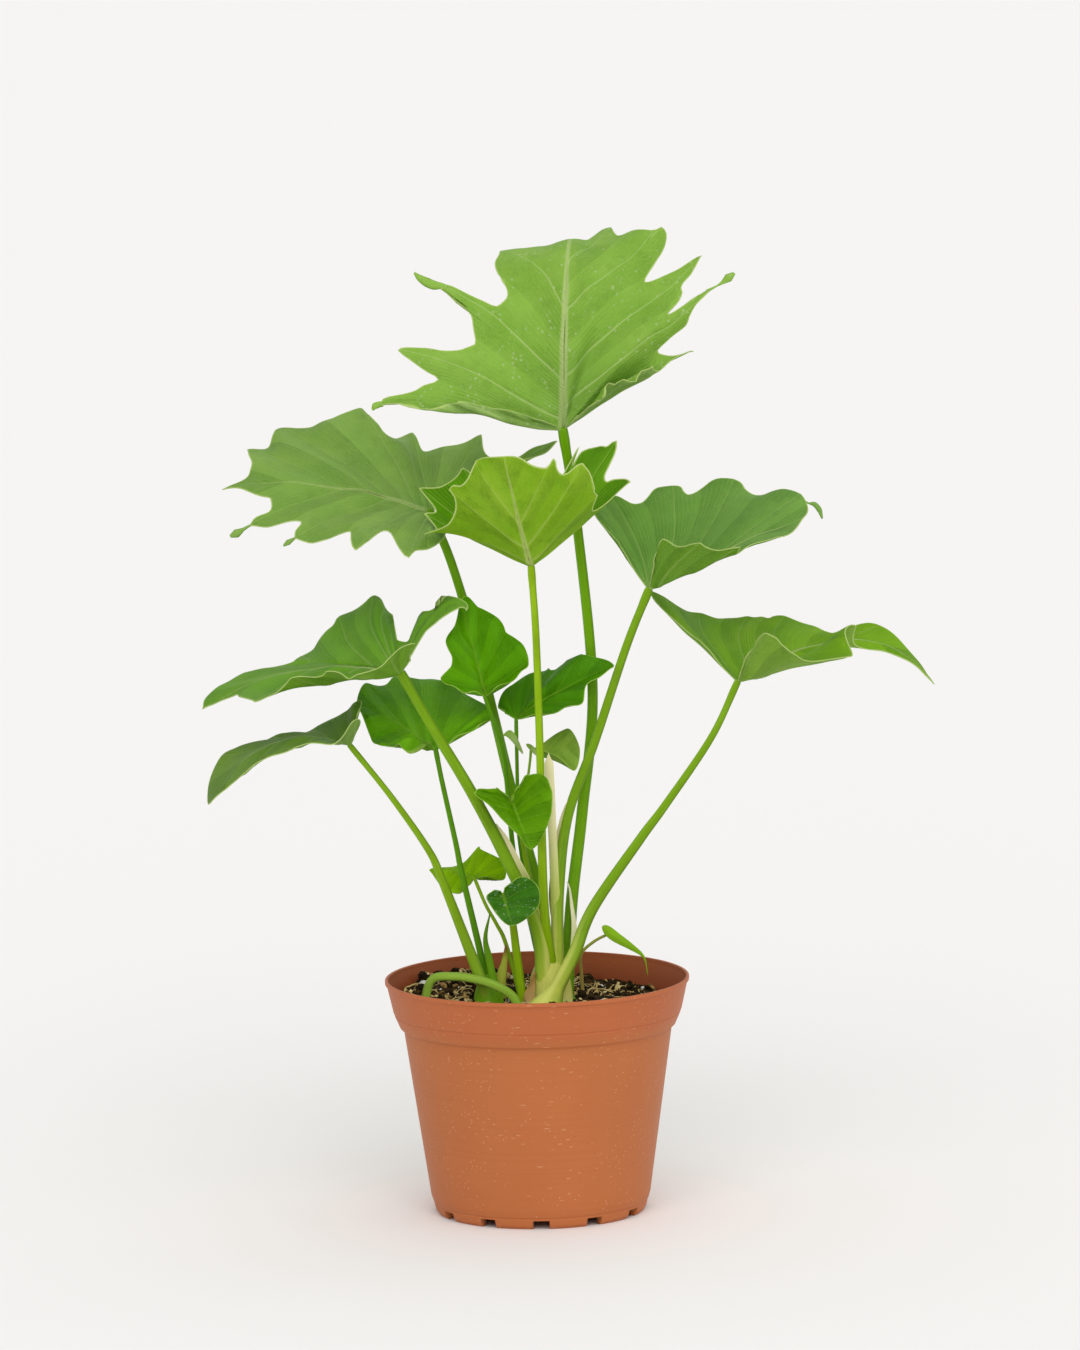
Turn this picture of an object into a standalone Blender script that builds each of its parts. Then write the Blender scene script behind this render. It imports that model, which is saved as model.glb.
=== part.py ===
"""Potted philodendron: a young lobed-leaf plant in a plastic nursery pot.

Run with: blender --background --python part.py

Lengths are millimetres until a mesh is made, and metres in the scene. +Z is up. The origin is the
middle of the pot's base, on the surface that the pot stands on. The plant faces -Y.

A blade is a fan of veins that spread from the top of its petiole. Each vein is an arc (a quadratic
Bezier curve), and the blade is the smooth surface through them all, cut back between the vein tips.
"""

import math

import bmesh
import bpy
import mathutils
import numpy as np

MM = 0.001

# Driving dimensions, mm
GAP = 0.3  # between pieces that touch
POT_TOP_RADIUS = 85.0
POT_HEIGHT = 132.0
POT_BASE_RADIUS = 57.2
WALL = 1.4
BAND_HEIGHT = 19.0  # the flared band below the rim
LIP_HEIGHT = 2.2
FOOT_HEIGHT = 5.6
DRAIN_COUNT = 12
DRAIN_WIDTH = 9.0
SOIL_LEVEL = 119.0
BLADE_THICKNESS = 0.8
JOINT_THINNING = 0.2  # share of a blade's thickness that is left where it meets the petiole
SHEATH_THICKNESS = 0.9

SCREW_STEPS = 40
COLUMNS_PER_VEIN = 2  # blade mesh columns from each vein to the next
THIN_STALK = 2.0  # radius below which a stalk has fewer faces

# Colours (linear) and roughness
TERRACOTTA = (0.46, 0.14, 0.055)
PEAT = (0.022, 0.014, 0.009)
LEAF_LIGHT = (0.20, 0.42, 0.05)
LEAF_MID = (0.12, 0.28, 0.06)
LEAF_DARK = (0.045, 0.16, 0.03)
STALK_GREEN = (0.20, 0.33, 0.05)
CREAM = (0.62, 0.62, 0.36)

# Each blade: the point where its petiole meets it, which vein runs to its tip, how pointed its lobes
# are, how deep the margin is cut between each two veins (a share of their length), and its veins,
# anticlockwise as seen from the leaf's upper side. A vein is its tip (x, y, z) from the joint, then
# either how far its middle stands above the straight line and how far it leans to the midrib, or
# the middle point (x, y, z) itself.
BLADES = {
    "top": dict(
        colour=LEAF_LIGHT,
        joint=(20, 15, 437),
        tip_vein=8,
        sharpness=0.6,
        cuts=(0.05, 0.05, 0.12, 0.3, 0.32, 0.3, 0.12, 0.05, 0.04, 0.37, 0.38, 0.29, 0.12, 0.05),
        veins=(
            (6, -7, 7), (24, -23, 24), (50, -23, 38, 0, 3), (72, -15, 44, 0, 5),
            (89, -5, 81, 47, -13, 52), (78, 10, 94, 41, -7, 59), (57, 25, 110, 28, -1, 68),
            (29, 57, 108, 15, -3, 73), (9, 90, 85, 4, 1, 94), (-33, 40, 99, -17, -1, 73),
            (-73, 5, 87, -34, -7, 54), (-92, -15, 48, -42, -17, 32), (-101, -30, 20, -51, -23, 19),
            (-58, -35, 22, -30, -24, 9), (-10, -15, 9),
        ),
    ),
    "upper_left": dict(
        colour=LEAF_MID,
        joint=(-55, 30, 391),
        tip_vein=8,
        sharpness=0.65,
        cuts=(0.05, 0.08, 0.32, 0.15, 0.15, 0.06, 0.08, 0.16, 0.18, 0.22, 0.2, 0.25, 0.1, 0.05),
        veins=(
            (12, 1, 6), (42, 14, 22), (72, 40, 34), (29, 62, 37), (-10, 68, 36, 3), (-39, 68, 50, 5),
            (-84, 54, 42, 7), (-102, 30, 35, 8), (-113, -5, 17, 9), (-111, -38, -3, 8),
            (-81, -52, -10, 7), (-40, -66, -12, 6), (-12, -62, -19, 4), (8, -36, -10, 2), (3, -12, -4),
        ),
    ),
    "centre": dict(
        colour=LEAF_LIGHT,
        joint=(1, -25, 366),
        tip_vein=7,
        sharpness=0.65,
        cuts=(0.08, 0.12, 0.15, 0.12, 0.28, 0.1, 0.08, 0.16, 0.28, -0.04, 0.25, 0.3, 0.1, 0.1),
        veins=(
            (-9, 19, 27), (-37, 39, 52), (-62, 41, 41), (-59, 29, 28), (-59, 7, 19, -29, -1, 17),
            (-45, -17, 46, -25, -15, 29), (-30, -25, 62, -18, -21, 34), (-14, -29, 66, -8, -21, 36),
            (13, -27, 64, 6, -21, 34), (29, -25, 61, 15, -19, 30), (37, -15, 42, 19, -11, 24),
            (56, 19, 44), (49, 39, 65), (28, 43, 62), (9, 21, 28),
        ),
    ),
    "upper_right": dict(
        colour=LEAF_MID,
        joint=(66, 5, 348),
        tip_vein=5,
        sharpness=0.8,
        cuts=(0.05, 0.12, 0.1, 0.18, 0.15, 0.12, 0.14, 0.15, 0.12, 0.05, 0.05),
        veins=(
            (3, -17, 16), (8, -29, 33), (29, -45, 33, -3), (50, -51, 31, -2), (75, -41, 34, 3),
            (97, -1, 41, 46, -11, 24), (86, 17, 50, 47, 3, 32), (49, 55, 56, 2), (15, 61, 52, 1),
            (-20, 53, 47), (-32, 39, 47), (-16, 12, 22),
        ),
    ),
    "lower_right": dict(
        colour=LEAF_MID,
        joint=(114, -20, 299),
        tip_vein=5,
        sharpness=0.8,
        cuts=(0.08, 0.1, 0.05, 0.05, 0.22, 0.06, 0.22, 0.06, 0.1, 0.08, 0.05),
        veins=(
            (2, -12, 9), (15, -42, 34), (36, -50, 20, 20, -30, 12), (62, -42, 20, 34, -24, 11),
            (66, -8, 32, 34, -4, 13), (107, 8, -3, 62, 10, 21), (81, 30, 26, 42, 16, 15),
            (28, 62, 29, 15, 32, 15), (8, 68, 29), (-19, 66, 31), (-47, 50, 45), (-18, 12, 18),
        ),
    ),
    "upright": dict(
        colour=LEAF_DARK,
        joint=(-26, 5, 290),
        tip_vein=5,
        sharpness=0.8,
        cuts=(0.1, 0.05, 0.05, 0.03, 0.25, 0.25, 0.1, 0.2, 0.1, 0.05),
        veins=(
            (4, -7, 4), (17, -11, 12), (24, -7, 20), (12, 1, 36, 2), (-3, 9, 49, 2),
            (-16, 15, 66, -6, 3, 27), (-17, 9, 41, 1), (-21, 3, 28), (-24, -5, 11), (-13, -5, 5),
            (-3, -3, 2),
        ),
    ),
    "hanging_heart": dict(
        colour=LEAF_LIGHT,
        joint=(-12, -18, 234),
        tip_vein=4,
        sharpness=0.8,
        cuts=(0.1, 0.05, 0.05, 0.03, 0.03, 0.05, 0.05, 0.1),
        veins=(
            (-2, -2, 3), (-9, -8, 9), (-20, -12, 8), (-6, -14, -7, 2), (10, -12, -25, 3),
            (22, -14, -4, 2), (21, -12, 10, 1), (9, -4, 16), (2, -2, 5),
        ),
    ),
    "mid_left": dict(
        colour=LEAF_MID,
        joint=(-72, -25, 308),
        tip_vein=9,
        sharpness=0.8,
        cuts=(0.05, 0.05, 0.1, 0.15, 0.05, 0.06, 0.08, 0.06, 0.1, 0.1, 0.05, 0.08, 0.1, 0.12, 0.05, 0.05),
        veins=(
            (8, 3, 8), (37, 25, 34), (25, 37, 39), (7, 43, 25), (-5, 59, 25), (-15, 75, 33, 3),
            (-35, 75, 23, 3), (-57, 61, 3, 3), (-90, 37, -3, -47, 35, 1), (-111, 7, -18, -54, 7, 2),
            (-81, -25, -10, -45, -13, -3), (-59, -37, 4, -2), (-40, -43, 8, -2.5), (-26, -43, 5, -1),
            (-6, -37, 15), (7, -27, 22), (5, -9, 9),
        ),
    ),
    "lower_left": dict(
        colour=LEAF_MID,
        joint=(-101, -30, 269),
        tip_vein=6,
        sharpness=0.8,
        cuts=(0.05, 0.05, 0.05, 0.06, 0.06, -0.05, 0.04, 0.05, 0.08, 0.05, 0.05),
        veins=(
            (4, 9, 11), (5, 24, 22), (-3, 38, 15), (-22, 48, 3, 2), (-44, 46, -1, -24, 26, 1),
            (-72, 32, -10, -34, 18, 2), (-77, -10, -29, -42, -4, 3), (-60, -36, -10, -27, -20, 4),
            (-33, -46, 6, 3), (-9, -44, 9, 1), (5, -26, 19), (4, -7, 8),
        ),
    ),
    "inner": dict(
        colour=LEAF_DARK,
        joint=(-54, 0, 261),
        tip_vein=7,
        sharpness=0.8,
        cuts=(0.05, 0.05, 0.05, 0.08, 0.08, 0.06, 0.05, 0.08, 0.05, 0.1, 0.05),
        veins=(
            (8, 2, 4), (22, 10, 11), (31, 18, 15), (27, 27, 22, 1), (4, 56, 31, 2), (-22, 54, 33, 3),
            (-39, 42, 32, 3), (-44, 22, 24, 3), (-35, -6, 8, 1), (-24, -16, 6), (-13, -20, 11),
            (-3, -8, 5),
        ),
    ),
    "inner_right": dict(
        colour=LEAF_MID,
        joint=(-9, 10, 276),
        tip_vein=4,
        sharpness=0.8,
        cuts=(0.05, 0.05, 0.1, 0.15, 0.1, 0.05, 0.05, 0.08, 0.05, 0.05),
        veins=(
            (4, -8, 2), (22, -18, 7), (36, -20, 12), (42, -10, 23, 1), (55, -4, 29, 25, 0, 16),
            (38, 4, 35, 2), (24, 24, 27, 1), (13, 30, 23, 1), (-1, 22, 18), (-10, 12, 8), (-6, 4, 3),
        ),
    ),
    "tiny": dict(
        colour=LEAF_MID,
        joint=(-1, 8, 259),
        tip_vein=3,
        sharpness=0.8,
        cuts=(0.05, 0.08, 0.05, 0.05, 0.05, 0.05),
        veins=(
            (4, -6, 0), (13, -10, -1), (24, -10, -10), (27, 0, 1, 1), (21, 10, 10), (12, 12, 4),
            (4, 6, 1),
        ),
    ),
    "low_heart": dict(
        colour=LEAF_DARK,
        joint=(-18, -22, 183),
        tip_vein=4,
        sharpness=0.8,
        cuts=(0.05, 0.05, 0.03, 0.02, 0.02, 0.02, 0.03, 0.05),
        veins=(
            (-1.5, -2, 2), (-5, -6, 3), (-9, -10, 0), (-4, -12, -9, 1), (5, -12, -16, 2),
            (19, -12, -6, 2), (19, -10, 6, 1), (10, -4, 10), (1, -2, 3.5),
        ),
    ),
    "low_bright": dict(
        colour=LEAF_LIGHT,
        joint=(-34, 15, 186),
        tip_vein=5,
        sharpness=0.8,
        cuts=(0.05, 0.05, 0.1, 0.06, 0.1, 0.08, 0.06, 0.05),
        veins=(
            (5, -1, 1), (17, 5, -1), (15, 11, 9, 1), (3, 13, 16, 1), (-6, 11, 7, 1), (-25, -1, 5, 2),
            (-20, -9, -4, 1), (-8, -13, -6), (-3, -7, -2),
        ),
    ),
}

# Each petiole: its route from the blade's joint down to the crown or the soil, and its radius at the
# top and at the bottom.
PETIOLES = {
    "top": (
        ((20, 15, 437), (27, 20, 383), (34, 23, 290), (27, 20, 222), (20, 14, 170), (17, 7, 126)),
        2.6, 4.0,
    ),
    "upper_left": (
        ((-55, 30, 391), (-43, 33, 360), (-28, 34, 304), (-11, 29, 228), (1, 20, 181), (8, 10, 137)),
        2.4, 3.4,
    ),
    "centre": (
        ((1, -25, 366), (3, -26, 326), (4, -22, 258), (4, -18, 223), (8, -14, 169), (11, -8, 126)),
        1.9, 3.2,
    ),
    "upper_right": (
        ((66, 5, 348), (53, 7, 316), (35, 8, 264), (19, 6, 222), (12, 2, 181), (11, 0, 138)),
        2.2, 3.8,
    ),
    "lower_right": (
        ((114, -20, 299), (99, -19, 268), (73, -15, 230), (59, -12, 211), (31, -7, 172), (15, -3, 133)),
        1.8, 4.8,
    ),
    "mid_left": (
        ((-72, -25, 308), (-58, -24, 282), (-35, -19, 241),
         (-15, -14, 200), (-2, -9, 160), (3, -4, 124)),
        2.6, 5.2,
    ),
    "lower_left": (
        ((-101, -30, 269), (-79, -29, 240), (-59, -24, 209),
         (-52, -21, 192), (-40, -15, 158), (-29, -10, 126)),
        1.5, 4.0,
    ),
    "inner": (
        ((-54, 0, 261), (-51, 0, 244), (-44, 0, 209), (-41, 0, 192), (-33, 1, 154), (-28, 0, 130)),
        1.3, 2.3,
    ),
    "upright": (
        ((-26, 5, 290), (-17, 16, 259), (-15, 20, 240), (-12, 18, 201), (-8, 15, 182), (2, 7, 140)),
        1.2, 1.6,
    ),
    "inner_right": (
        ((-9, 10, 276), (-9, 20, 238), (-9, 22, 212), (-4, 19, 172), (-2, 16, 153), (5, 7, 123)),
        1.0, 1.3,
    ),
    "tiny": (
        ((-1, 8, 259), (-2, 10, 250), (-6, 14, 221), (-5, 12, 202), (2, 8, 163), (5, 6, 143)),
        0.7, 1.0,
    ),
    "hanging_heart": (
        ((-12, -18, 234), (-11, -13, 236), (-8, -4, 221), (-6, -1, 204), (1, 0, 161), (5, 0, 141)),
        1.0, 1.5,
    ),
    "low_heart": (
        ((-18, -22, 183), (-15, -14, 177), (-13, -12, 165), (-11, -10, 146), (-8, -7, 117)),
        1.6, 3.1,
    ),
    "low_bright": (
        ((-34, 15, 186), (-28, 14, 171), (-22, 12, 160), (-17, 10, 149), (-8, 3, 115)),
        0.9, 1.3,
    ),
}

# The crowns are the short stems that the petioles grow from: centre and radii of each.
CROWNS = {
    "crown_main": ((9, 0, 124), (16, 14, 24)),
    "crown_side": ((-27, -5, 118), (9, 9, 18)),
}

# Dry sheaths and bud scales, each an arc of a tube that narrows to a point: route, radius, the
# direction its back faces (degrees from +X), half its spread (degrees) at the bottom, and colour.
SHEATHS = {
    "sheath_tall": (
        ((6, -4, 252), (9, -2, 215), (11, 0, 190), (12, 1, 165), (11.5, 0.6, 140)),
        5.6, -130, 50, CREAM,
    ),
    "sheath_back": (
        ((16, 8, 184), (17, 8, 172), (18, 7, 158), (18, 6, 148)),
        5.2, -20, 60, CREAM,
    ),
    "scale_green": (
        ((-26, -6, 170), (-29, -7, 156), (-27, -7, 143), (-23, -7, 124)),
        3.6, 0, 50, STALK_GREEN,
    ),
    "scale_tipped": (
        ((-17, 6, 150), (-18, 5, 141), (-20, 4, 132), (-21, 3, 122)),
        4.0, -20, 60, CREAM,
    ),
}

SEEDLING_STALK = (
    ((40.5, 12.3, 153.5), (32, 13, 149), (25, 13, 142), (25, 14, 130), (26, 14, 114)),
    0.8, 1.1,
)
SEEDLING_LEAF = ((37, 11, 158), (44, 11, 152), (53, 11, 146), (60, 11, 140), (62, 11, 130))
FALLEN_STEM = (
    ((-64, -8, 114), (-59, -12, 133), (-46, -17, 136), (-32, -19, 134),
     (-21, -21, 130), (-13, -22, 124), (-8, -24, 112)),
    2.0, 2.2,
)


def unit(vectors):
    return vectors / np.linalg.norm(vectors, axis=-1, keepdims=True)


def spline(points, at):
    """The smooth (Catmull-Rom) curve through points, at positions counted in points from 0."""
    points = np.asarray(points, float)
    padded = np.vstack([2 * points[0] - points[1], points, 2 * points[-1] - points[-2]])
    start = np.clip(np.floor(at).astype(int), 0, len(points) - 2)
    t = (at - start)[:, None]
    a, b, c, d = (padded[start + k] for k in range(4))
    return b + 0.5 * t * (c - a + t * (2 * a - 5 * b + 4 * c - d + t * (3 * (b - c) + d - a)))


def vein_arcs(blade):
    """The veins' tips and the control points of their arcs, from the joint."""
    tips = np.array([vein[:3] for vein in blade["veins"]], float)
    up = unit(np.cross(tips[:-1], tips[1:]).sum(axis=0))
    midrib = tips[blade["tip_vein"]]
    controls = []
    for vein, tip in zip(blade["veins"], tips):
        if len(vein) == 6:
            middle = np.array(vein[3:], float)
        else:
            bow, lean = (tuple(vein[3:]) + (0, 0))[:2]
            across = midrib - (midrib @ tip) * tip / (tip @ tip)
            middle = tip / 2 + bow * up + lean * across / (np.linalg.norm(across) + 1e-9)
        controls.append(2 * middle - tip / 2)
    return tips, np.array(controls)


def blade_points(blade, across, along, hole):
    """Points of a blade: across is 0..1 round the fan of veins, along is 0..1 from joint to margin.

    The blade starts at the distance hole from the joint, where the petiole's round end sits.
    """
    tips, controls = vein_arcs(blade)
    at = across * (len(tips) - 1)
    tip, control = spline(tips, at), spline(controls, at)
    interval = np.clip(np.floor(at).astype(int), 0, len(tips) - 2)
    dip = np.abs(np.sin(math.pi * (at - interval))) ** (2 * blade["sharpness"])
    margin = 1 - np.array(blade["cuts"])[interval] * dip
    start = hole / (2 * np.linalg.norm(control, axis=1))
    r = (start + along * (margin - start))[:, None]
    return np.array(blade["joint"]) + 2 * r * (1 - r) * control + r * r * tip


def sheath_points(route, radius, facing, spread, across, along):
    """Points of an arc of a tube round a route: along is 0 at its pointed tip and 1 at the bottom."""
    centre = spline(route, along * (len(route) - 1))
    angle = math.radians(facing) + math.radians(spread) * (2 * across - 1) * (0.08 + 0.92 * along**0.7)
    rim = np.stack([np.cos(angle), np.sin(angle), 0 * angle], axis=1)
    return centre + radius * (0.35 + 0.65 * along**0.5)[:, None] * rim


def leaflet_points(route, half_width, across, along):
    """Points of a narrow leaf round a route, lightly folded, pointed at both ends."""
    centre = spline(route, along * (len(route) - 1))
    width = half_width * (0.06 + 0.94 * np.sin(math.pi * np.clip(along, 0.001, 0.999)) ** 0.7)
    side = (2 * across - 1) * width
    return centre + np.stack([0.3 * side, 0.8 * side, 0.35 * np.abs(side)], axis=1)


def material(name, colour, roughness, metallic=0.0):
    found = bpy.data.materials.get(name)
    if found:
        return found
    made = bpy.data.materials.new(name)
    made.use_nodes = True
    shader = made.node_tree.nodes["Principled BSDF"]
    shader.inputs["Base Color"].default_value = (*colour, 1.0)
    shader.inputs["Roughness"].default_value = roughness
    shader.inputs["Metallic"].default_value = metallic
    made.diffuse_color = (*colour, 1.0)
    return made


def new_object(name, mesh, collection, finish=None):
    made = bpy.data.objects.new(name, mesh)
    collection.objects.link(made)
    if finish:
        mesh.materials.append(finish)
        mesh.shade_smooth()
        mesh.set_sharp_from_angle(angle=math.radians(40))
    return made


def mesh_from_bmesh(name, shape):
    mesh = bpy.data.meshes.new(name)
    shape.to_mesh(mesh)
    shape.free()
    return mesh


def as_cutter(made):
    made.hide_render = True
    made.display_type = "WIRE"
    return made


def cut(piece, *cutters):
    for cutter in cutters:
        boolean = piece.modifiers.new(f"cut_{cutter.name}", "BOOLEAN")
        boolean.operation = "DIFFERENCE"
        boolean.object = cutter


def sheet(name, place, columns, rows, thickness, collection, finish, thin_start=None):
    """A thin shell: a grid of faces laid on the surface place(across, along), with Solidify.

    With thin_start, its edge at along = 0 has that share of the thickness.
    """
    shape = bmesh.new()
    bmesh.ops.create_grid(shape, x_segments=columns, y_segments=rows, size=1)
    flat = np.array([vertex.co[:2] for vertex in shape.verts])
    points = place(*((flat + 1) / 2).T) * MM
    for vertex, point in zip(shape.verts, points):
        vertex.co = point
    made = new_object(name, mesh_from_bmesh(name, shape), collection, finish)
    solidify = made.modifiers.new("thickness", "SOLIDIFY")
    solidify.thickness = thickness * MM
    solidify.offset = 0
    if thin_start is not None:
        edge = [vertex for vertex, (_, y) in enumerate(flat) if y < -0.99]
        rest = [vertex for vertex, (_, y) in enumerate(flat) if y >= -0.99]
        taper = made.vertex_groups.new(name="taper")
        taper.add(edge, 0, "REPLACE")
        taper.add(rest, 1, "REPLACE")
        solidify.vertex_group = taper.name
        solidify.thickness_vertex_group = thin_start
    return made


def turned(name, profile, collection, finish=None):
    """A turned solid from its profile of (radius, height) points, both ends on the axis."""
    shape = bmesh.new()
    corners = [shape.verts.new((radius * MM, 0, height * MM)) for radius, height in profile]
    for above, below in zip(corners, corners[1:]):
        shape.edges.new((above, below))
    made = new_object(name, mesh_from_bmesh(name, shape), collection, finish)
    screw = made.modifiers.new("turn", "SCREW")
    screw.steps = SCREW_STEPS
    screw.render_steps = SCREW_STEPS
    screw.use_merge_vertices = True
    screw.merge_threshold = 0.00001
    return made


def stalk(name, route, top_radius, bottom_radius, collection, finish, segments=12, sides=8):
    """A tapered stalk with a round upper end, as a mesh so that it can be cut."""
    share = np.linspace(0, 1, segments)
    points = spline(route, share * (len(route) - 1))
    radii = top_radius + (bottom_radius - top_radius) * share**1.5
    direction = unit(points[0] - points[1])
    rounding = np.radians([72, 36])
    knob = points[0] + np.outer(np.sin(rounding), direction) * top_radius
    points = np.vstack([knob, points])
    radii = np.concatenate([np.cos(rounding) * top_radius, radii])
    curve = bpy.data.curves.new(name, "CURVE")
    curve.dimensions = "3D"
    curve.bevel_depth = MM
    curve.bevel_resolution = (sides - 4) // 2
    curve.use_fill_caps = True
    line = curve.splines.new("POLY")
    line.points.add(len(points) - 1)
    for node, point, radius in zip(line.points, points * MM, radii):
        node.co = (*point, 1)
        node.radius = radius
    guide = new_object(f"{name}_guide", curve, collection)
    evaluated = guide.evaluated_get(bpy.context.evaluated_depsgraph_get())
    mesh = bpy.data.meshes.new_from_object(evaluated)
    bpy.data.objects.remove(guide)
    bpy.data.curves.remove(curve)
    shape = bmesh.new()
    shape.from_mesh(mesh)
    bmesh.ops.remove_doubles(shape, verts=shape.verts, dist=0.00001)
    shape.to_mesh(mesh)
    shape.free()
    mesh.name = name
    return new_object(name, mesh, collection, finish)


def pot_profile():
    """Inside from the middle of the floor up to the lip, then the outside down to the foot."""
    band_bottom = POT_HEIGHT - BAND_HEIGHT
    lip_bottom = POT_HEIGHT - LIP_HEIGHT
    floor = FOOT_HEIGHT + 2.0
    outside = [
        (POT_TOP_RADIUS - 0.4, POT_HEIGHT),
        (POT_TOP_RADIUS, POT_HEIGHT - 0.5),
        (POT_TOP_RADIUS, lip_bottom),
        (POT_TOP_RADIUS - 0.6, lip_bottom - 0.3),
        (POT_TOP_RADIUS - 4.6, band_bottom),
        (POT_TOP_RADIUS - 9.0, band_bottom - 7.5),
        (POT_TOP_RADIUS - 11.2, band_bottom - 8.0),
        (POT_BASE_RADIUS + 3.8, 10.6),
        (POT_BASE_RADIUS + 3.0, FOOT_HEIGHT),
        (POT_BASE_RADIUS + 1.8, 2.0),
        (POT_BASE_RADIUS, 0),
    ]
    inside = [
        (0, floor),
        (POT_BASE_RADIUS, floor),
        (POT_BASE_RADIUS + 2.3, 11.6),
        (POT_TOP_RADIUS - 12.6, band_bottom - 9.0),
        (POT_TOP_RADIUS - 10.4, band_bottom - 7.0),
        (POT_TOP_RADIUS - 6.0, band_bottom + 0.5),
        (POT_TOP_RADIUS - 0.6 - WALL, lip_bottom),
        (POT_TOP_RADIUS - 0.4 - WALL, POT_HEIGHT),
    ]
    pad_radius = 14.0  # the middle of the base stands on the surface too
    underside = [
        (POT_BASE_RADIUS - 2.6, 0),
        (POT_BASE_RADIUS - 3.0, FOOT_HEIGHT),
        (pad_radius + 0.4, FOOT_HEIGHT),
        (pad_radius, 0),
        (0, 0),
    ]
    return inside + outside + underside


def soil_profile():
    """The soil fills the pot up to SOIL_LEVEL, a gap inside the wall."""
    wall = [point for point in pot_profile()[1:6]]
    (r1, z1), (r2, z2) = wall[-1], pot_profile()[6]
    rim = r1 + (r2 - r1) * (SOIL_LEVEL - z1) / (z2 - z1)
    side = [(radius - GAP, max(height, FOOT_HEIGHT + 2.0 + GAP)) for radius, height in wall]
    return [(0, SOIL_LEVEL), (rim - GAP, SOIL_LEVEL)] + side[::-1] + [(0, FOOT_HEIGHT + 2.0 + GAP)]


def drain_cutter(name, inner, outer, low, high, collection):
    """A ring of blocks, one for each drain hole, in one mesh."""
    shape = bmesh.new()
    for k in range(DRAIN_COUNT):
        block = bmesh.ops.create_cube(shape, size=1)["verts"]
        size = (outer - inner, DRAIN_WIDTH, high - low)
        bmesh.ops.scale(shape, vec=[side * MM for side in size], verts=block)
        bmesh.ops.translate(shape, vec=((inner + outer) / 2 * MM, 0, (low + high) / 2 * MM), verts=block)
        angle = 2 * math.pi * k / DRAIN_COUNT
        turn = [[math.cos(angle), -math.sin(angle), 0], [math.sin(angle), math.cos(angle), 0], [0, 0, 1]]
        bmesh.ops.transform(shape, matrix=mathutils.Matrix(turn).to_4x4(), verts=block)
    return as_cutter(new_object(name, mesh_from_bmesh(name, shape), collection))


def make_pot(parts, cutters):
    pot = turned("pot", pot_profile(), parts, material("terracotta_plastic", TERRACOTTA, 0.45))
    notches = drain_cutter(
        "drain_notches", POT_BASE_RADIUS - 8, POT_BASE_RADIUS + 8, -1, FOOT_HEIGHT - 0.6, cutters
    )
    slots = drain_cutter(
        "drain_slots", POT_BASE_RADIUS - 12, POT_BASE_RADIUS - 4, 2, FOOT_HEIGHT + 4, cutters
    )
    cut(pot, notches, slots)
    turned("soil", soil_profile(), parts, material("peat", PEAT, 0.95))


def ellipsoid(name, centre, radii, collection, finish=None):
    shape = bmesh.new()
    bmesh.ops.create_uvsphere(shape, u_segments=16, v_segments=10, radius=MM)
    bmesh.ops.scale(shape, vec=radii, verts=shape.verts)
    bmesh.ops.translate(shape, vec=[value * MM for value in centre], verts=shape.verts)
    return new_object(name, mesh_from_bmesh(name, shape), collection, finish)


def ground_cutter(collection):
    """Everything up to a gap above the soil."""
    shape = bmesh.new()
    bmesh.ops.create_cube(shape, size=1)
    bmesh.ops.scale(shape, vec=(0.16, 0.16, 0.1), verts=shape.verts)
    bmesh.ops.translate(shape, vec=(0, 0, (SOIL_LEVEL + GAP) * MM - 0.05), verts=shape.verts)
    return as_cutter(new_object("ground", mesh_from_bmesh("ground", shape), collection))


def make_crowns(parts, cutters, ground):
    """The two crowns, cut off at the soil, and the cutters that keep other pieces off them."""
    clearances = []
    for name, (centre, radii) in CROWNS.items():
        crown = ellipsoid(name, centre, radii, parts, material("pale_stem", CREAM, 0.5))
        cut(crown, ground)
        wider = [radius + GAP for radius in radii]
        clearances.append(as_cutter(ellipsoid(f"{name}_clearance", centre, wider, cutters)))
    return clearances


def make_leaves(parts, ground, crowns):
    stalk_finish = material("petiole_green", STALK_GREEN, 0.4)
    for name, blade in BLADES.items():
        route, top_radius, bottom_radius = PETIOLES[name]
        thin = bottom_radius < THIN_STALK
        petiole = stalk(
            f"petiole_{name}",
            route,
            top_radius,
            bottom_radius,
            parts,
            stalk_finish,
            segments=9 if thin else 12,
            sides=6 if thin else 8,
        )
        cut(petiole, ground, *crowns)
        intervals = len(blade["veins"]) - 1
        small = intervals < 10
        sheet(
            f"blade_{name}",
            lambda across, along: blade_points(blade, across, along, top_radius + 0.9),
            COLUMNS_PER_VEIN * intervals,
            3 if small else 4,
            BLADE_THICKNESS,
            parts,
            material(f"blade_{name}", blade["colour"], 0.4),
            JOINT_THINNING,
        )


def make_small_growth(parts, ground, crowns):
    """Sheaths, bud scales, the seedling and the fallen stem."""
    for name, (route, radius, facing, spread, colour) in SHEATHS.items():
        made = sheet(
            name,
            lambda across, along: sheath_points(route, radius, facing, spread, across, along),
            6,
            6,
            SHEATH_THICKNESS,
            parts,
            material(name, colour, 0.5),
        )
        cut(made, ground, *crowns)
    green = material("petiole_green", STALK_GREEN, 0.4)
    cut(stalk("seedling_stalk", *SEEDLING_STALK, parts, green, 8, 6), ground, *crowns)
    sheet(
        "seedling_leaf",
        lambda across, along: leaflet_points(SEEDLING_LEAF, 3.0, across, along),
        4,
        8,
        SHEATH_THICKNESS,
        parts,
        material("seedling_green", LEAF_LIGHT, 0.4),
    )
    cut(stalk("fallen_stem", *FALLEN_STEM, parts, green, 16, 6), ground, *crowns)


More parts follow.
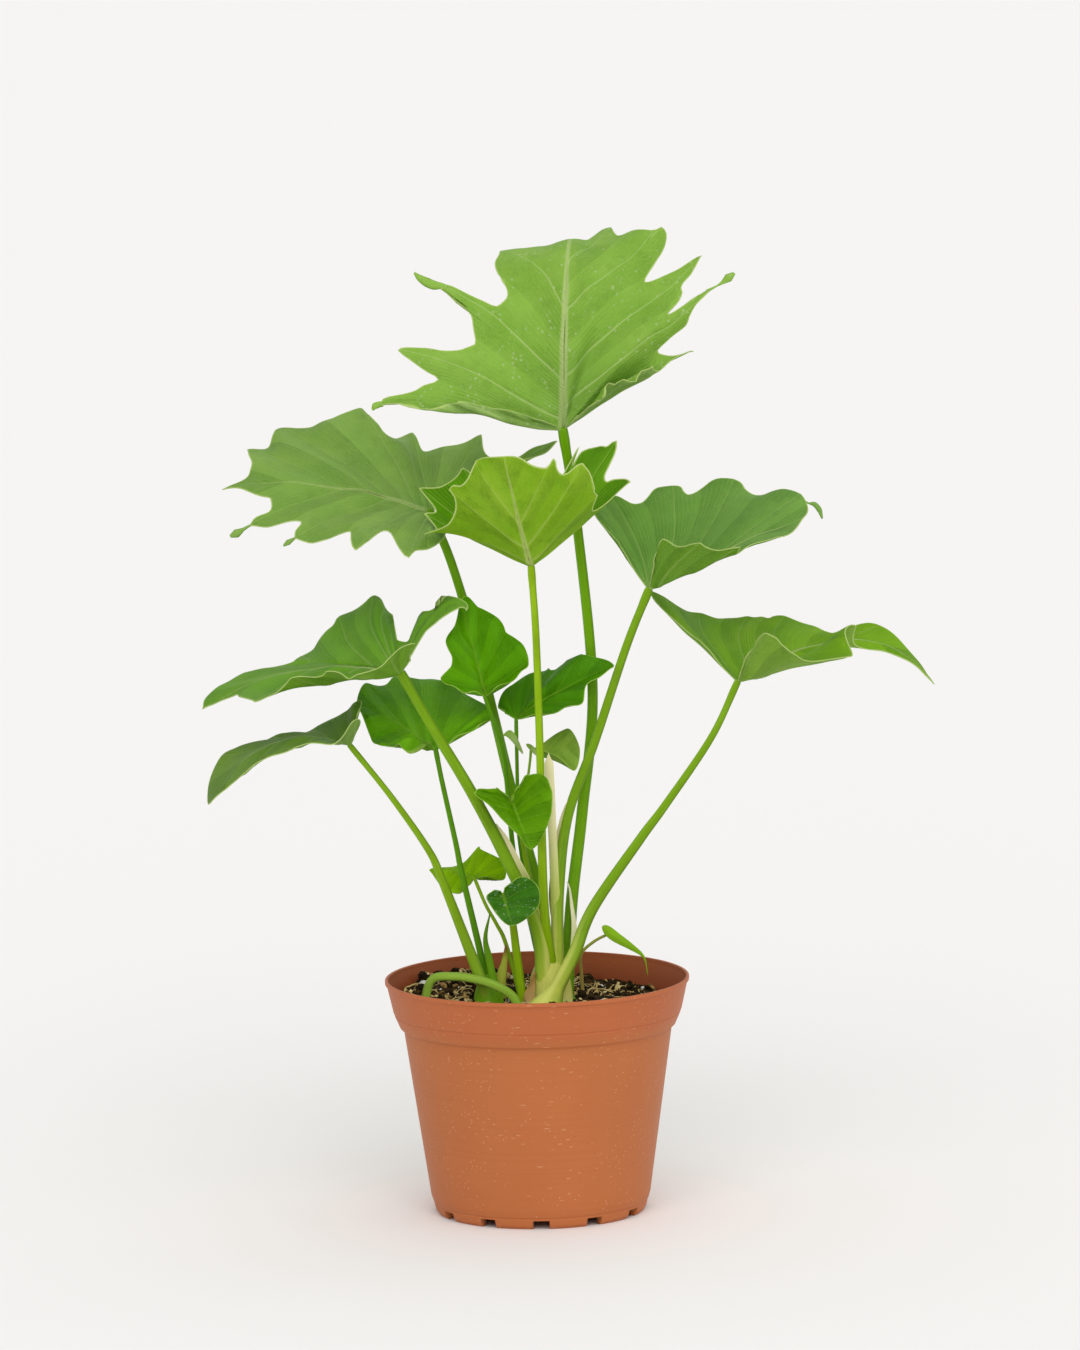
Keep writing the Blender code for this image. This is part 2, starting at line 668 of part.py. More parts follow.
def main():
    for old in list(bpy.data.objects):
        bpy.data.objects.remove(old)
    parts = bpy.data.collections.new("potted_philodendron")
    cutters = bpy.data.collections.new("cutters")
    for collection in (parts, cutters):
        bpy.context.scene.collection.children.link(collection)
    cutters.hide_render = True
    ground = ground_cutter(cutters)
    make_pot(parts, cutters)
    crowns = make_crowns(parts, cutters, ground)
    make_leaves(parts, ground, crowns)
    make_small_growth(parts, ground, crowns)


main()
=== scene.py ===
"""Potted philodendron, dressed for the render: detailed leaves, stalks, soil and pot round the model.

Lengths are millimetres until a mesh is made, and metres in the scene. +Z is up, and the plant faces -Y.

A leaf blade is a fan of veins that spread from the top of its petiole. Each vein is an arc (a quadratic
Bezier curve), and the blade is the smooth surface through them all, cut back between the lobes' tips.
"""

import math

import bpy
import mathutils
import numpy as np
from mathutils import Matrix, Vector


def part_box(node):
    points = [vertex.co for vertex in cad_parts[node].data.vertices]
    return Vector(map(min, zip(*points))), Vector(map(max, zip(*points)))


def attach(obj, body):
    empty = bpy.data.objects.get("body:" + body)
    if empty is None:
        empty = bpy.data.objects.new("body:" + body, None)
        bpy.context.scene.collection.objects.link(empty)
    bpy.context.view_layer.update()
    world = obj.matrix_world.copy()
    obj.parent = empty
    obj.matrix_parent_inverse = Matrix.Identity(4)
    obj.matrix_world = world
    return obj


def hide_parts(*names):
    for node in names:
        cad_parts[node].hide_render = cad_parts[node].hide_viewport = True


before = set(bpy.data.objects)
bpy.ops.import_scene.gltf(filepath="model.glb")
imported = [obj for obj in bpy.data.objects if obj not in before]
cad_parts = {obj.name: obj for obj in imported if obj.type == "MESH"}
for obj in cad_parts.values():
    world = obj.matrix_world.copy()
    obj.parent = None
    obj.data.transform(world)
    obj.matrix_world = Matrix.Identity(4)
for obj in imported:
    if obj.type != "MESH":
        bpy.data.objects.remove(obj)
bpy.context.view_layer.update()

MM = 0.001
BODY = "root"

# Pot and soil, mm
POT_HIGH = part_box("pot")[1] / MM
POT_TOP_RADIUS, POT_HEIGHT = POT_HIGH.x, POT_HIGH.z
POT_BASE_RADIUS = 57.2
PAD_RADIUS = 14.0
WALL = 1.4
BAND_HEIGHT = 19.0
LIP_HEIGHT = 2.2
FOOT_HEIGHT = 5.6
CORNER_RADIUS = 0.55
DRAIN_COUNT = 12
DRAIN_WIDTH = 9.0
SOIL_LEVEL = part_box("soil")[1].z / MM
SOIL_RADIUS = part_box("soil")[1].x / MM
SOIL_SLOPE = -0.035  # the soil lies lower on the right
HEAP_X, HEAP_WIDTH, HEAP_HEIGHT = -45.0, 30.0, 4.5  # and is heaped up on the left, behind

# Camera, mm and degrees
CAMERA_PLACE = (4.766, -5000.0, 1013.63)
CAMERA_AIM = (4.766, 0.0, 302.26)
CAMERA_ROLL = -1.05
CAMERA_LENS = 242.18
CAMERA_SENSOR = 36
CAMERA_REACH = 200  # m
FLOOR_HALF_WIDTH = 60.0  # m

# Sheets and stalks, mm
LEAF_THICKNESS = 0.5
SHEATH_THICKNESS = 0.5
PAPERY_THICKNESS = 0.3
WING_THICKNESS = 0.35
LEAFLET_THICKNESS = 0.4
KNOB = 0.12  # how much a stalk swells just below its blade
FLARE = 0.25  # and at its foot
BURIED = 8.0  # a thick stalk goes on this far past its lowest point
STALK_STEP = 2.5  # between its rings
STALK_AROUND = 28  # points in each ring

# Grids of points: columns across and rows along; for the round ones, rings and points round each
SHEATH_GRID = (24, 60)
WING_GRID = (8, 50)
LEAFLET_GRID = (17, 40)
CROWN_GRID = (48, 64)
SOIL_GRID = (90, 220)

# Leaves: columns between two veins and rows from joint to margin, of the large ones and the small ones
LEAF_GRID = (20, 46)
SMALL_LEAF_GRID = (14, 30)
FINE_VEINS = 12.0  # fine veins to each vein
TAIL_WIDTH = 0.045  # of a tail at a lobe's tip, in veins
WAVES = 1.7  # half waves of the margin to each vein
FLAT_RIM = 0.09  # how far in from the margin there is no relief, in the leaf's size
WAVY_RIM = 0.25  # how far in the margin's waves reach
CURL_FROM = 0.97  # the shares of the arcs beyond this bend down

# The entries below that are colours, as display values 0..255
COLOURS = ("upper", "upper_2", "heart", "under", "under_2", "midrib", "vein", "margin", "glow")
# What a leaf has where its own entry doesn't say otherwise
PLAIN = dict(
    upper=(92, 140, 48), upper_2=(112, 158, 62), heart=(122, 166, 72), under=(126, 166, 66),
    under_2=(140, 178, 82), midrib=(186, 206, 128), vein=(158, 190, 102), margin=(196, 218, 130),
    glow=(150, 196, 30), midrib_share=0.85, vein_share=0.6, fine_share=0.2, rim=0.7, roughness=0.5,
    shine=0.15, share=0.26, specks=0, quilt=0.9, wave=1, crumple=0.5, point=1, lobed=1, edge={}, ends={},
    tails={}, ruffles={}, curls=(), near_cut=(1, ((0, 0), (1, 0))), fade=0.35, thin=0.6, painted_vein_shading=0.3,
    branches=((0.98, 0.42, 0.2, 0.06, 0), (0.98, 0.42, 0.2, 0.06, 0)), rib=0.8, midrib_width=2,
    vein_width=0.9, hidden_top=0, knee=(0, 0), flare=None,
)
# What the small leaves share: faint fine veins, a narrow rim and little relief
SMALL = dict(
    midrib_width=0.9, vein_width=0.6, rim=0.3, shine=0.08, heart=(88, 144, 12), midrib=(136, 182, 46),
    vein=(122, 172, 36), margin=(166, 204, 84), fine_share=0.07, quilt=0.45, midrib_share=0.5, rib=0.4,
)

# Each leaf, with what differs from PLAIN.
# joint: where the petiole meets the blade. tip_vein: the vein that runs to the blade's tip.
# petiole: its route from below the joint down to the crown or the soil. radii: at its top and bottom.
# flare: how much its foot widens, where its route is given down to its very end. knee: where it swells, and
#   by how much. hidden_top: how far below the blade it starts.
# veins: anticlockwise as seen from the upper side. A vein is its tip (x, y, z) from the joint, then either
#   how far its middle stands above the straight line and how far it leans to the midrib, or the middle
#   point (x, y, z) itself.
# cuts: how deep the margin is cut between each two veins, in percent of their length; lobed is how much of
#   that counts, and point how narrow the cuts are.
# edge: between a vein and the next one, the margin's points: how far across and how far out, in percent.
# ends: how far out the margin is at a vein, in percent. tails: how much further a narrow tail reaches.
# curls: rolled-up lobes: at which vein, the route from the lobe's end, and the radii along it.
# ruffles: (from vein, to vein): (height in mm, waves to each vein).
# quilt, wave, crumple, rib: in mm, how far the blade swells between the veins, its margin waves, the whole
#   blade is uneven, and the midrib stands out below. thin and fade: how much thinner and fainter the veins
#   get towards the margin. painted_vein_shading: how strong the painted shade on one side of a vein and the
#   painted highlight on the other are.
# near_cut: how the first veins bend away from the split behind the joint: up to which vein, and (r, veins).
# branches: where the veins leave the midrib, counted from it, in shares of its length, on each side.
# Colours: the upper side (two greens, mottled), the heart round the joint, the underside, the midrib, the
#   veins, the margin's thin line, and the light that shines through (by the given share).
LEAVES = {
    "top": dict(
        joint=(20, 15, 437), tip_vein=8, slot="leaf_light", stalk="petiole_deep", radii=(2.6, 4),
        petiole=((27, 20, 383), (34, 23, 290), (27, 20, 222), (20, 14, 170), (17, 7, 126)),
        veins=((6, -7, 7), (24, -23, 24), (50, -23, 38, 0, 3), (72, -15, 44, 0, 5),
               (89, -5, 81, 47, -13, 52), (78, 10, 94, 41, -7, 59), (57, 25, 110, 28, -1, 68),
               (29, 57, 108, 15, -3, 73), (9, 90, 85, 4, 1, 94), (-33, 40, 99, -17, -1, 73),
               (-73, 5, 87, -34, -7, 54), (-92, -15, 48, -42, -17, 32), (-101, -30, 20, -51, -23, 19),
               (-58, -35, 22, -30, -24, 9), (-10, -15, 9)),
        cuts=(5, 5, 12, 30, 32, 30, 12, 5, 4, 37, 38, 29, 12, 5),
        edge={
            3: ((8, 95), (14, 84), (25, 74), (42, 65), (52, 72), (58, 81), (72, 81), (86, 83), (93, 90)),
            4: ((3, 90), (5, 76), (9, 68), (22, 63), (31, 70), (50, 76), (70, 79), (77, 88), (88, 95),
                (95, 98.5)),
            5: ((3, 97), (7, 91), (13, 85), (27, 78), (43, 72), (58, 69), (64, 76), (67, 87), (75, 94),
                (88, 99)),
            6: ((7, 95), (25, 93), (45, 93), (73, 91), (87, 94)), 7: ((20, 98), (50, 96), (80, 98)),
            8: ((20, 98), (50, 97), (80, 96)),
            9: ((8, 93), (21, 86), (28, 78), (31, 66), (37, 61), (50, 60), (67, 61), (78, 68), (88, 78),
                (94, 88)),
            10: ((6, 90), (7, 78), (10, 69), (24, 65), (45, 61), (58, 64), (73, 69), (84, 77), (90, 88),
                 (95, 96.5)),
            11: ((4, 96.5), (8, 93.5), (15, 88), (25, 80), (32, 73), (40, 72), (52, 77), (68, 80), (77, 86),
                 (83, 95)),
            12: ((15, 100), (30, 96), (42, 90), (60, 94), (80, 90)),
        },
        curls=(
            (4, ((4, 0, 2), (7, 0, 3.8), (10.5, 0, 6.4), (13.8, 0, 9)), (1.1, 0.8, 0.45, 1, 2.5, 0.8)),
            (
                10, ((-5, -1, 0.6), (-9, -2, 2.4), (-13, -3, 5), (-16, -3, 8)),
                (1.2, 1.4, 2.6, 2.7, 1.9, 0.6),
            ),
            (12, ((-2.5, -1, -0.8), (-4, -1, -3)), (1.4, 1.7, 1.9, 0.6)),
        ),
        branches=((0.98, 0.36, 0.15, 0.03, 0), (0.98, 0.5, 0.36, 0.16, 0.07, 0)),
        ruffles={(0.3, 2.2): (1.5, 2.9), (0.6, 3.2): (2.4, 1.1), (11.8, 13.6): (2, 1.9),
                 (12.2, 13.8): (1.4, 3.3)},
        upper=(128, 176, 58), upper_2=(150, 193, 78), heart=(146, 190, 82), painted_vein_shading=0.2, under=(140, 176, 84),
        under_2=(156, 188, 104), midrib=(196, 214, 140), vein=(190, 218, 132), vein_share=0.9, specks=0.5,
        roughness=0.5, wave=1.4, tails={3: 0.02}, ends={4: 92, 5: 101, 10: 90, 11: 98.5}, midrib_width=2.7,
        vein_width=1, glow=(170, 206, 50), crumple=1.2, fine_share=0.09, fade=0.7, thin=0.9,
    ),
    "upper_left": dict(
        joint=(-55, 30, 391), tip_vein=8, slot="leaf_mid", stalk="petiole_deep", radii=(2.4, 3.4),
        knee=(0.27, 0.4),
        petiole=((-43, 33, 360), (-28, 34, 304), (-11, 29, 228), (1, 20, 181), (8, 10, 137)),
        veins=((12, 1, 6), (42, 14, 22), (72, 40, 34), (29, 62, 37), (-10, 68, 36, 3), (-39, 68, 50, 5),
               (-84, 54, 42, 7), (-102, 30, 35, 8), (-113, -5, 17, 9), (-111, -38, -3, 8),
               (-81, -52, -10, 7), (-40, -66, -12, 6), (-12, -62, -19, 4), (8, -36, -10, 2), (3, -12, -4)),
        cuts=(5, 8, 32, 15, 15, 6, 8, 16, 18, 22, 20, 25, 10, 5),
        edge={
            3: ((17, 92), (35, 88), (60, 82), (84, 75), (91, 80), (95, 92)),
            4: ((35, 83), (72, 68), (92, 68), (96, 80), (98, 90)),
            5: ((20, 97), (38, 96), (55, 95), (72, 92), (86, 93), (95, 97)),
            6: ((10, 99), (37, 95), (68, 92), (88, 93)),
            7: ((23, 96), (43, 92), (60, 91), (78, 91), (94, 94)),
            8: ((12, 94), (23, 89), (34, 83), (40, 78), (55, 77), (68, 77), (80, 79), (87, 86)),
            9: ((13, 87), (26, 85), (31, 79), (35, 73), (50, 73), (70, 78), (85, 86)),
            10: ((17, 93), (32, 93), (38, 84), (41, 72), (50, 73), (65, 81), (80, 91), (93, 99)),
            11: ((3, 94), (4, 80), (7, 68), (22, 66), (47, 74), (70, 87), (88, 97)),
            12: ((6, 97), (12, 94), (38, 96), (62, 97), (90, 99)),
        },
        curls=(
            (9, ((-3.6, 0, -2), (-7.4, 0, -4.2), (-11, 0, -5.8)), (0.9, 0.6, 1, 2.5, 0.8)),
            (10, ((-3.6, 0, -2.2), (-6.4, 0, -4.2)), (0.8, 0.6, 1.6, 0.5)),
        ),
        ruffles={(0.05, 2.4): (2.6, 1.1)},
        ends={9: 90, 10: 92}, upper=(117, 160, 62), upper_2=(138, 176, 78), heart=(120, 160, 74),
        roughness=0.42, tails={8: 0.02}, wave=1.5, fine_share=0.3, midrib_share=0.65, vein_share=0.5,
        point=1.2, quilt=1.9, crumple=1.8,
    ),
    "centre": dict(
        joint=(1, -25, 366), tip_vein=7, slot="leaf_light", stalk="petiole_bright", radii=(1.9, 3.2),
        petiole=((3, -26, 326), (4, -22, 258), (4, -18, 223), (5, -12, 169), (10, -2, 130), (12, 1, 118)),
        veins=((-9, 19, 27), (-37, 39, 52), (-62, 41, 41), (-59, 29, 28), (-59, 7, 19, -29, -1, 17),
               (-45, -17, 46, -25, -15, 29), (-30, -25, 62, -18, -21, 34), (-14, -29, 66, -8, -21, 36),
               (13, -27, 64, 6, -21, 34), (29, -25, 61, 15, -19, 30), (37, -15, 42, 19, -11, 24),
               (56, 19, 44), (49, 39, 65), (28, 43, 62), (9, 21, 28)),
        cuts=(8, 12, 15, 12, 28, 10, 8, 16, 28, -4, 25, 30, 10, 10),
        edge={
            4: ((13, 92), (32, 83), (50, 80), (72, 81), (90, 88)),
            5: ((12, 100), (27, 91), (55, 90), (82, 95)), 6: ((5, 105), (23, 103), (60, 101)),
            7: ((22, 99), (40, 96), (53, 92), (68, 90), (87, 90), (95, 94)),
            8: ((10, 97), (20, 90), (40, 85), (62, 87), (80, 94)),
            9: ((15, 100), (45, 104), (70, 104), (85, 101)),
            11: ((14, 97), (28, 93), (48, 84), (58, 78), (70, 79), (77, 86), (86, 95)),
            12: ((8, 97), (16, 93), (30, 93), (52, 92), (70, 92), (88, 91)),
        },
        ends={13: 82}, midrib_width=1.9, fade=0.6, thin=0.85, upper=(82, 142, 2), upper_2=(100, 160, 6),
        heart=(96, 152, 4), shine=0.1, under=(141, 188, 22), under_2=(168, 207, 56), midrib=(206, 218, 130),
        vein=(186, 214, 100), vein_width=1.05, vein_share=0.8, margin=(222, 236, 150), rim=1,
        glow=(168, 208, 10), share=0.4, point=1.3, flare=0.1,
    ),
    "upper_right": dict(
        joint=(66, 5, 348), tip_vein=5, slot="leaf_mid", stalk="petiole_cream_left", radii=(2.2, 3.8),
        petiole=((53, 7, 316), (35, 8, 264), (19, 6, 222), (13, -1, 181), (12, -3, 146), (13, -2, 118)),
        veins=((3, -17, 16), (8, -29, 33), (29, -45, 33, -3), (50, -51, 31, -2), (75, -41, 34, 3),
               (97, -1, 41, 46, -11, 24), (86, 17, 50, 47, 3, 32), (49, 55, 56, 2), (15, 61, 52, 1),
               (-20, 53, 47), (-32, 39, 47), (-16, 12, 22)),
        cuts=(5, 12, 10, 18, 15, 12, 14, 15, 12, 5, 5),
        edge={
            1: ((25, 91), (47, 85), (68, 88), (80, 94)), 2: ((13, 96), (45, 90), (68, 89), (90, 96)),
            4: ((20, 95), (45, 92), (80, 90)), 5: ((10, 90.5), (30, 92), (55, 94.3), (80, 97.2)),
            6: ((15, 100), (26, 98), (33, 93), (41, 88), (53, 87), (70, 91), (85, 97)),
            7: ((13, 99), (27, 96), (37, 90), (48, 86), (62, 86), (75, 91), (85, 97)),
            8: ((17, 101), (28, 97), (38, 89), (48, 85), (62, 86), (75, 92), (87, 98)),
        },
        curls=(
            (5.75, ((1.5, 0, -0.8), (4.6, 0, -1.4), (7.2, 0, -4.5), (8.8, 0, -9.5)),
             (0.6, 0.4, 0.5, 1.4, 1.5, 0.5)),
        ),
        ends={5: 90}, upper=(98, 148, 55), upper_2=(121, 168, 71), point=1.3, fine_share=0.26, quilt=1.2,
        under=(107, 157, 31), under_2=(119, 168, 40), flare=0.45,
    ),
    "lower_right": dict(
        joint=(114, -20, 299), tip_vein=5, slot="leaf_mid", stalk="petiole_cream_left", radii=(1.8, 4.8),
        petiole=((99, -19, 268), (73, -15, 230), (59, -12, 211), (32, -9, 172), (21, -13, 147),
                 (12, -15, 130), (3.5, -15, 113)),
        veins=((2, -12, 9), (15, -42, 34), (36, -50, 20, 20, -30, 12), (62, -42, 20, 34, -24, 11),
               (66, -8, 32, 34, -4, 13), (107, 8, -3, 62, 10, 21), (81, 30, 26, 42, 16, 15),
               (28, 62, 29, 15, 32, 15), (8, 68, 29), (-19, 66, 31), (-47, 50, 45), (-18, 12, 18)),
        cuts=(8, 10, 5, 5, 22, 6, 22, 6, 10, 8, 5),
        edge={
            1: ((20, 96), (35, 96), (48, 92), (67, 93), (85, 99)), 5: ((30, 104), (60, 102), (85, 101)),
            6: ((8, 99), (14, 95), (17, 85), (20, 76), (30, 77), (40, 80), (55, 86), (72, 91), (87, 96)),
            7: ((15, 95), (25, 91), (47, 94), (80, 97)), 8: ((20, 96), (42, 93), (63, 91), (80, 93)),
        },
        upper=(106, 160, 20), upper_2=(134, 180, 34), point=1.5, fine_share=0.15, heart=(84, 138, 16),
        shine=0.1, under=(128, 170, 58), under_2=(146, 184, 76), flare=1.25,
    ),
    "upright": dict(
        SMALL, joint=(-26, 5, 290), tip_vein=5, slot="leaf_dark", stalk="petiole_dark", radii=(1.2, 1.6),
        petiole=((-17, 16, 259), (-15, 20, 240), (-12, 18, 201), (-8, 15, 182), (2, 7, 140)),
        veins=((4, -7, 4), (17, -11, 12), (24, -7, 20), (12, 1, 36, 2), (-3, 9, 49, 2),
               (-16, 15, 66, -6, 3, 27), (-17, 9, 41, 1), (-21, 3, 28), (-24, -5, 11), (-13, -5, 5),
               (-3, -3, 2)),
        cuts=(10, 5, 5, 3, 25, 25, 10, 20, 10, 5),
        edge={
            2: ((43, 108), (65, 106), (90, 101)), 3: ((18, 106), (42, 108), (78, 104)),
            4: ((30, 98), (60, 91), (85, 86)), 5: ((30, 84), (70, 90)), 6: ((47, 103), (86, 104)),
            7: ((8, 87), (24, 83), (48, 84), (91, 99)),
        },
        ends={5: 84, 6: 95, 7: 96}, lobed=0.2, upper=(80, 148, 0), upper_2=(98, 166, 0), roughness=0.36,
        point=1.6, under=(80, 136, 16), under_2=(96, 150, 30), vein_share=0.3,
    ),
    "hanging_heart": dict(
        SMALL, joint=(-12, -18, 234), tip_vein=4, slot="leaf_light", stalk="petiole_bright", radii=(1, 1.5),
        hidden_top=1.6,
        petiole=((-11, -13, 236), (-8, -4, 221), (-6, -1, 204), (1, 0, 161), (5, 0, 141)),
        veins=((-2, -2, 3), (-9, -8, 9), (-20, -12, 8), (-6, -14, -7, 2), (10, -12, -25, 3),
               (22, -14, -4, 2), (21, -12, 10, 1), (9, -4, 16), (2, -2, 5)),
        cuts=(10, 5, 5, 3, 3, 5, 5, 10),
        edge={
            1: ((23, 92), (63, 97)), 3: ((33, 90), (62, 87), (80, 95)), 5: ((18, 98), (55, 96)),
            6: ((15, 106), (40, 112), (67, 106)),
        },
        quilt=0.5, ends={1: 86, 2: 97, 6: 102, 7: 92}, lobed=0, upper=(78, 136, 4), upper_2=(106, 162, 6),
        under=(90, 140, 20), roughness=0.38, point=2, vein_share=0.35,
    ),
    "mid_left": dict(
        joint=(-72, -25, 308), tip_vein=9, slot="leaf_mid", stalk="petiole_cream_right", radii=(2.6, 5.2),
        petiole=((-58, -24, 282), (-35, -19, 241), (-15, -14, 200), (1, -9, 161), (3.5, -6, 132),
                 (3.5, -4, 114)),
        veins=((8, 3, 8), (37, 25, 34), (25, 37, 39), (7, 43, 25), (-5, 59, 25), (-15, 75, 33, 3),
               (-35, 75, 23, 3), (-57, 61, 3, 3), (-90, 37, -3, -47, 35, 1), (-111, 7, -18, -54, 7, 2),
               (-81, -25, -10, -45, -13, -3), (-59, -37, 4, -2), (-40, -43, 8, -2.5), (-26, -43, 5, -1),
               (-6, -37, 15), (7, -27, 22), (5, -9, 9)),
        cuts=(5, 5, 10, 15, 5, 6, 8, 6, 10, 10, 5, 8, 10, 12, 5, 5),
        edge={
            2: ((13, 90), (37, 88), (60, 95), (72, 100), (82, 99), (88, 90), (94, 74)),
            3: ((10, 60), (40, 60), (80, 58), (92, 60), (97, 75)), 4: ((13, 108), (50, 102), (87, 98)),
            5: ((30, 96), (57, 96), (80, 97)), 6: ((10, 98), (25, 95), (42, 99), (60, 102), (80, 98)),
            7: ((20, 92), (40, 84), (60, 78), (80, 79), (93, 88)), 8: ((30, 101), (60, 101), (88, 99.5)),
            9: ((5, 95.5), (10, 89.5), (16, 85), (24, 85), (50, 89), (85, 96)),
        },
        near_cut=(3, (
            (0, 2), (0.55, 1.95), (0.62, 1.7), (0.74, 1.45), (0.84, 1.3), (0.91, 1.2), (1, 0.92),
        )),
        ends={3: 63, 4: 98}, upper=(98, 156, 34), upper_2=(120, 173, 44), point=1.6, under=(116, 164, 40),
        under_2=(134, 180, 56), flare=0.5,
    ),
    "lower_left": dict(
        joint=(-101, -30, 269), tip_vein=6, slot="leaf_mid", stalk="petiole_fresh", radii=(1.5, 4),
        petiole=((-79, -29, 240), (-59, -24, 209), (-52, -21, 192), (-40, -15, 158), (-29, -10, 126)),
        veins=((4, 9, 11), (5, 24, 22), (-3, 38, 15), (-22, 48, 3, 2), (-44, 46, -1, -24, 26, 1),
               (-72, 32, -10, -34, 18, 2), (-77, -10, -29, -42, -4, 3), (-60, -36, -10, -27, -20, 4),
               (-33, -46, 6, 3), (-9, -44, 9, 1), (5, -26, 19), (4, -7, 8)),
        cuts=(5, 5, 5, 6, 6, -5, 4, 5, 8, 5, 5),
        upper=(94, 138, 33), upper_2=(116, 152, 47), point=1.8,
    ),
    "inner": dict(
        SMALL, joint=(-54, 0, 261), tip_vein=7, slot="leaf_dark", stalk="petiole_dark", radii=(1.3, 2.3),
        petiole=((-51, 0, 244), (-44, 0, 209), (-41, 0, 192), (-33, 1, 154), (-28, 0, 130)),
        veins=((8, 2, 4), (22, 10, 11), (31, 18, 15), (27, 27, 22, 1), (4, 56, 31, 2), (-22, 54, 33, 3),
               (-39, 42, 32, 3), (-44, 22, 24, 3), (-35, -6, 8, 1), (-24, -16, 6), (-13, -20, 11),
               (-3, -8, 5)),
        cuts=(5, 5, 5, 8, 8, 6, 5, 8, 5, 10, 5),
        edge={
            3: ((30, 98), (63, 96)), 4: ((7, 102), (23, 107), (37, 103), (52, 101), (75, 102), (87, 106)),
            5: ((10, 100), (40, 92), (78, 94)), 7: ((20, 98), (43, 97), (80, 98)),
            8: ((30, 103), (62, 106)), 9: ((30, 104), (70, 120)), 10: ((30, 132), (70, 120)),
        },
        midrib_width=1.2, ends={5: 104, 10: 130}, lobed=0.2, upper=(84, 154, 4), upper_2=(117, 183, 17),
        roughness=0.4, point=1.6, under=(102, 146, 26), under_2=(118, 160, 44), vein_share=0.35,
    ),
    "inner_right": dict(
        SMALL, joint=(-9, 10, 276), tip_vein=4, slot="leaf_mid", stalk="petiole_dark", radii=(1, 1.3),
        petiole=((-9, 20, 238), (-9, 22, 212), (-4, 19, 172), (-2, 16, 153), (5, 7, 123)),
        veins=((4, -8, 2), (22, -18, 7), (36, -20, 12), (42, -10, 23, 1), (55, -4, 29, 25, 0, 16),
               (38, 4, 35, 2), (24, 24, 27, 1), (13, 30, 23, 1), (-1, 22, 18), (-10, 12, 8), (-6, 4, 3)),
        cuts=(5, 5, 10, 15, 10, 5, 5, 8, 5, 5),
        edge={
            4: ((48, 103), (77, 101)), 5: ((30, 105), (60, 112), (70, 112), (76, 100), (82, 88)),
            6: ((20, 91), (50, 99)),
        },
        ends={6: 87}, lobed=0.1, upper=(68, 133, 4), upper_2=(83, 148, 9), roughness=0.4, point=1.6,
        under=(84, 134, 16), under_2=(98, 146, 30), vein_share=0.35,
    ),
    "tiny": dict(
        SMALL, joint=(-1, 8, 259), tip_vein=3, slot="leaf_mid", stalk="petiole_fresh", radii=(0.7, 1),
        petiole=((-2, 10, 250), (-6, 14, 221), (-5, 12, 202), (2, 8, 163), (5, 6, 143)),
        veins=((4, -6, 0), (13, -10, -1), (24, -10, -10), (27, 0, 1, 1), (21, 10, 10), (12, 12, 4),
               (4, 6, 1)),
        cuts=(5, 8, 5, 5, 5, 5),
        quilt=0.4, lobed=0, upper=(120, 158, 51), upper_2=(146, 176, 69), point=1.8, wave=0.4, crumple=0.2,
    ),
    "low_heart": dict(
        SMALL, joint=(-18, -22, 183), tip_vein=4, slot="leaf_dark", stalk="petiole_bright",
        radii=(1.6, 3.1), hidden_top=1.6,
        petiole=((-15, -14, 177), (-13, -12, 165), (-11, -10, 146), (-8, -7, 117)),
        veins=((-1.5, -2, 2), (-5, -6, 3), (-9, -10, 0), (-4, -12, -9, 1), (5, -12, -16, 2),
               (19, -12, -6, 2), (19, -10, 6, 1), (10, -4, 10), (1, -2, 3.5)),
        cuts=(5, 5, 3, 2, 2, 2, 3, 5),
        heart=(70, 114, 46), quilt=0.3, lobed=0, upper=(51, 106, 18), upper_2=(66, 123, 28), roughness=0.34,
        point=2, specks=0.35, vein_share=0.3, wave=0.3, crumple=0.2,
    ),
    "low_bright": dict(
        SMALL, joint=(-34, 15, 186), tip_vein=5, slot="leaf_light", stalk="petiole_bright",
        radii=(0.9, 1.3),
        petiole=((-28, 14, 171), (-22, 12, 160), (-17, 10, 149), (-8, 3, 115)),
        veins=((5, -1, 1), (17, 5, -1), (15, 11, 9, 1), (3, 13, 16, 1), (-6, 11, 7, 1), (-25, -1, 5, 2),
               (-20, -9, -4, 1), (-8, -13, -6), (-3, -7, -2)),
        cuts=(5, 5, 10, 6, 10, 8, 6, 5),
        edge={
            2: ((30, 90), (60, 84), (85, 87)), 5: ((30, 90), (70, 88)), 6: ((30, 95),),
        },
        midrib=(170, 210, 60), vein=(160, 204, 50), quilt=0.4, ends={3: 95, 6: 92}, lobed=0.2,
        upper=(139, 191, 4), upper_2=(166, 211, 7), under=(104, 150, 10), under_2=(122, 166, 24),
        glow=(160, 206, 10), share=0.4, point=1.5, wave=0.5, crumple=0.3,
    ),
}

# The short stems that the petioles grow from: finish, centre and radii
CROWNS = {
    "crown_main": ("crown_cream", (7.5, -1, 122), (12.5, 11.5, 23)),
    "crown_side": ("crown_green", (-27, -5, 118), (8.5, 8.5, 17)),
}

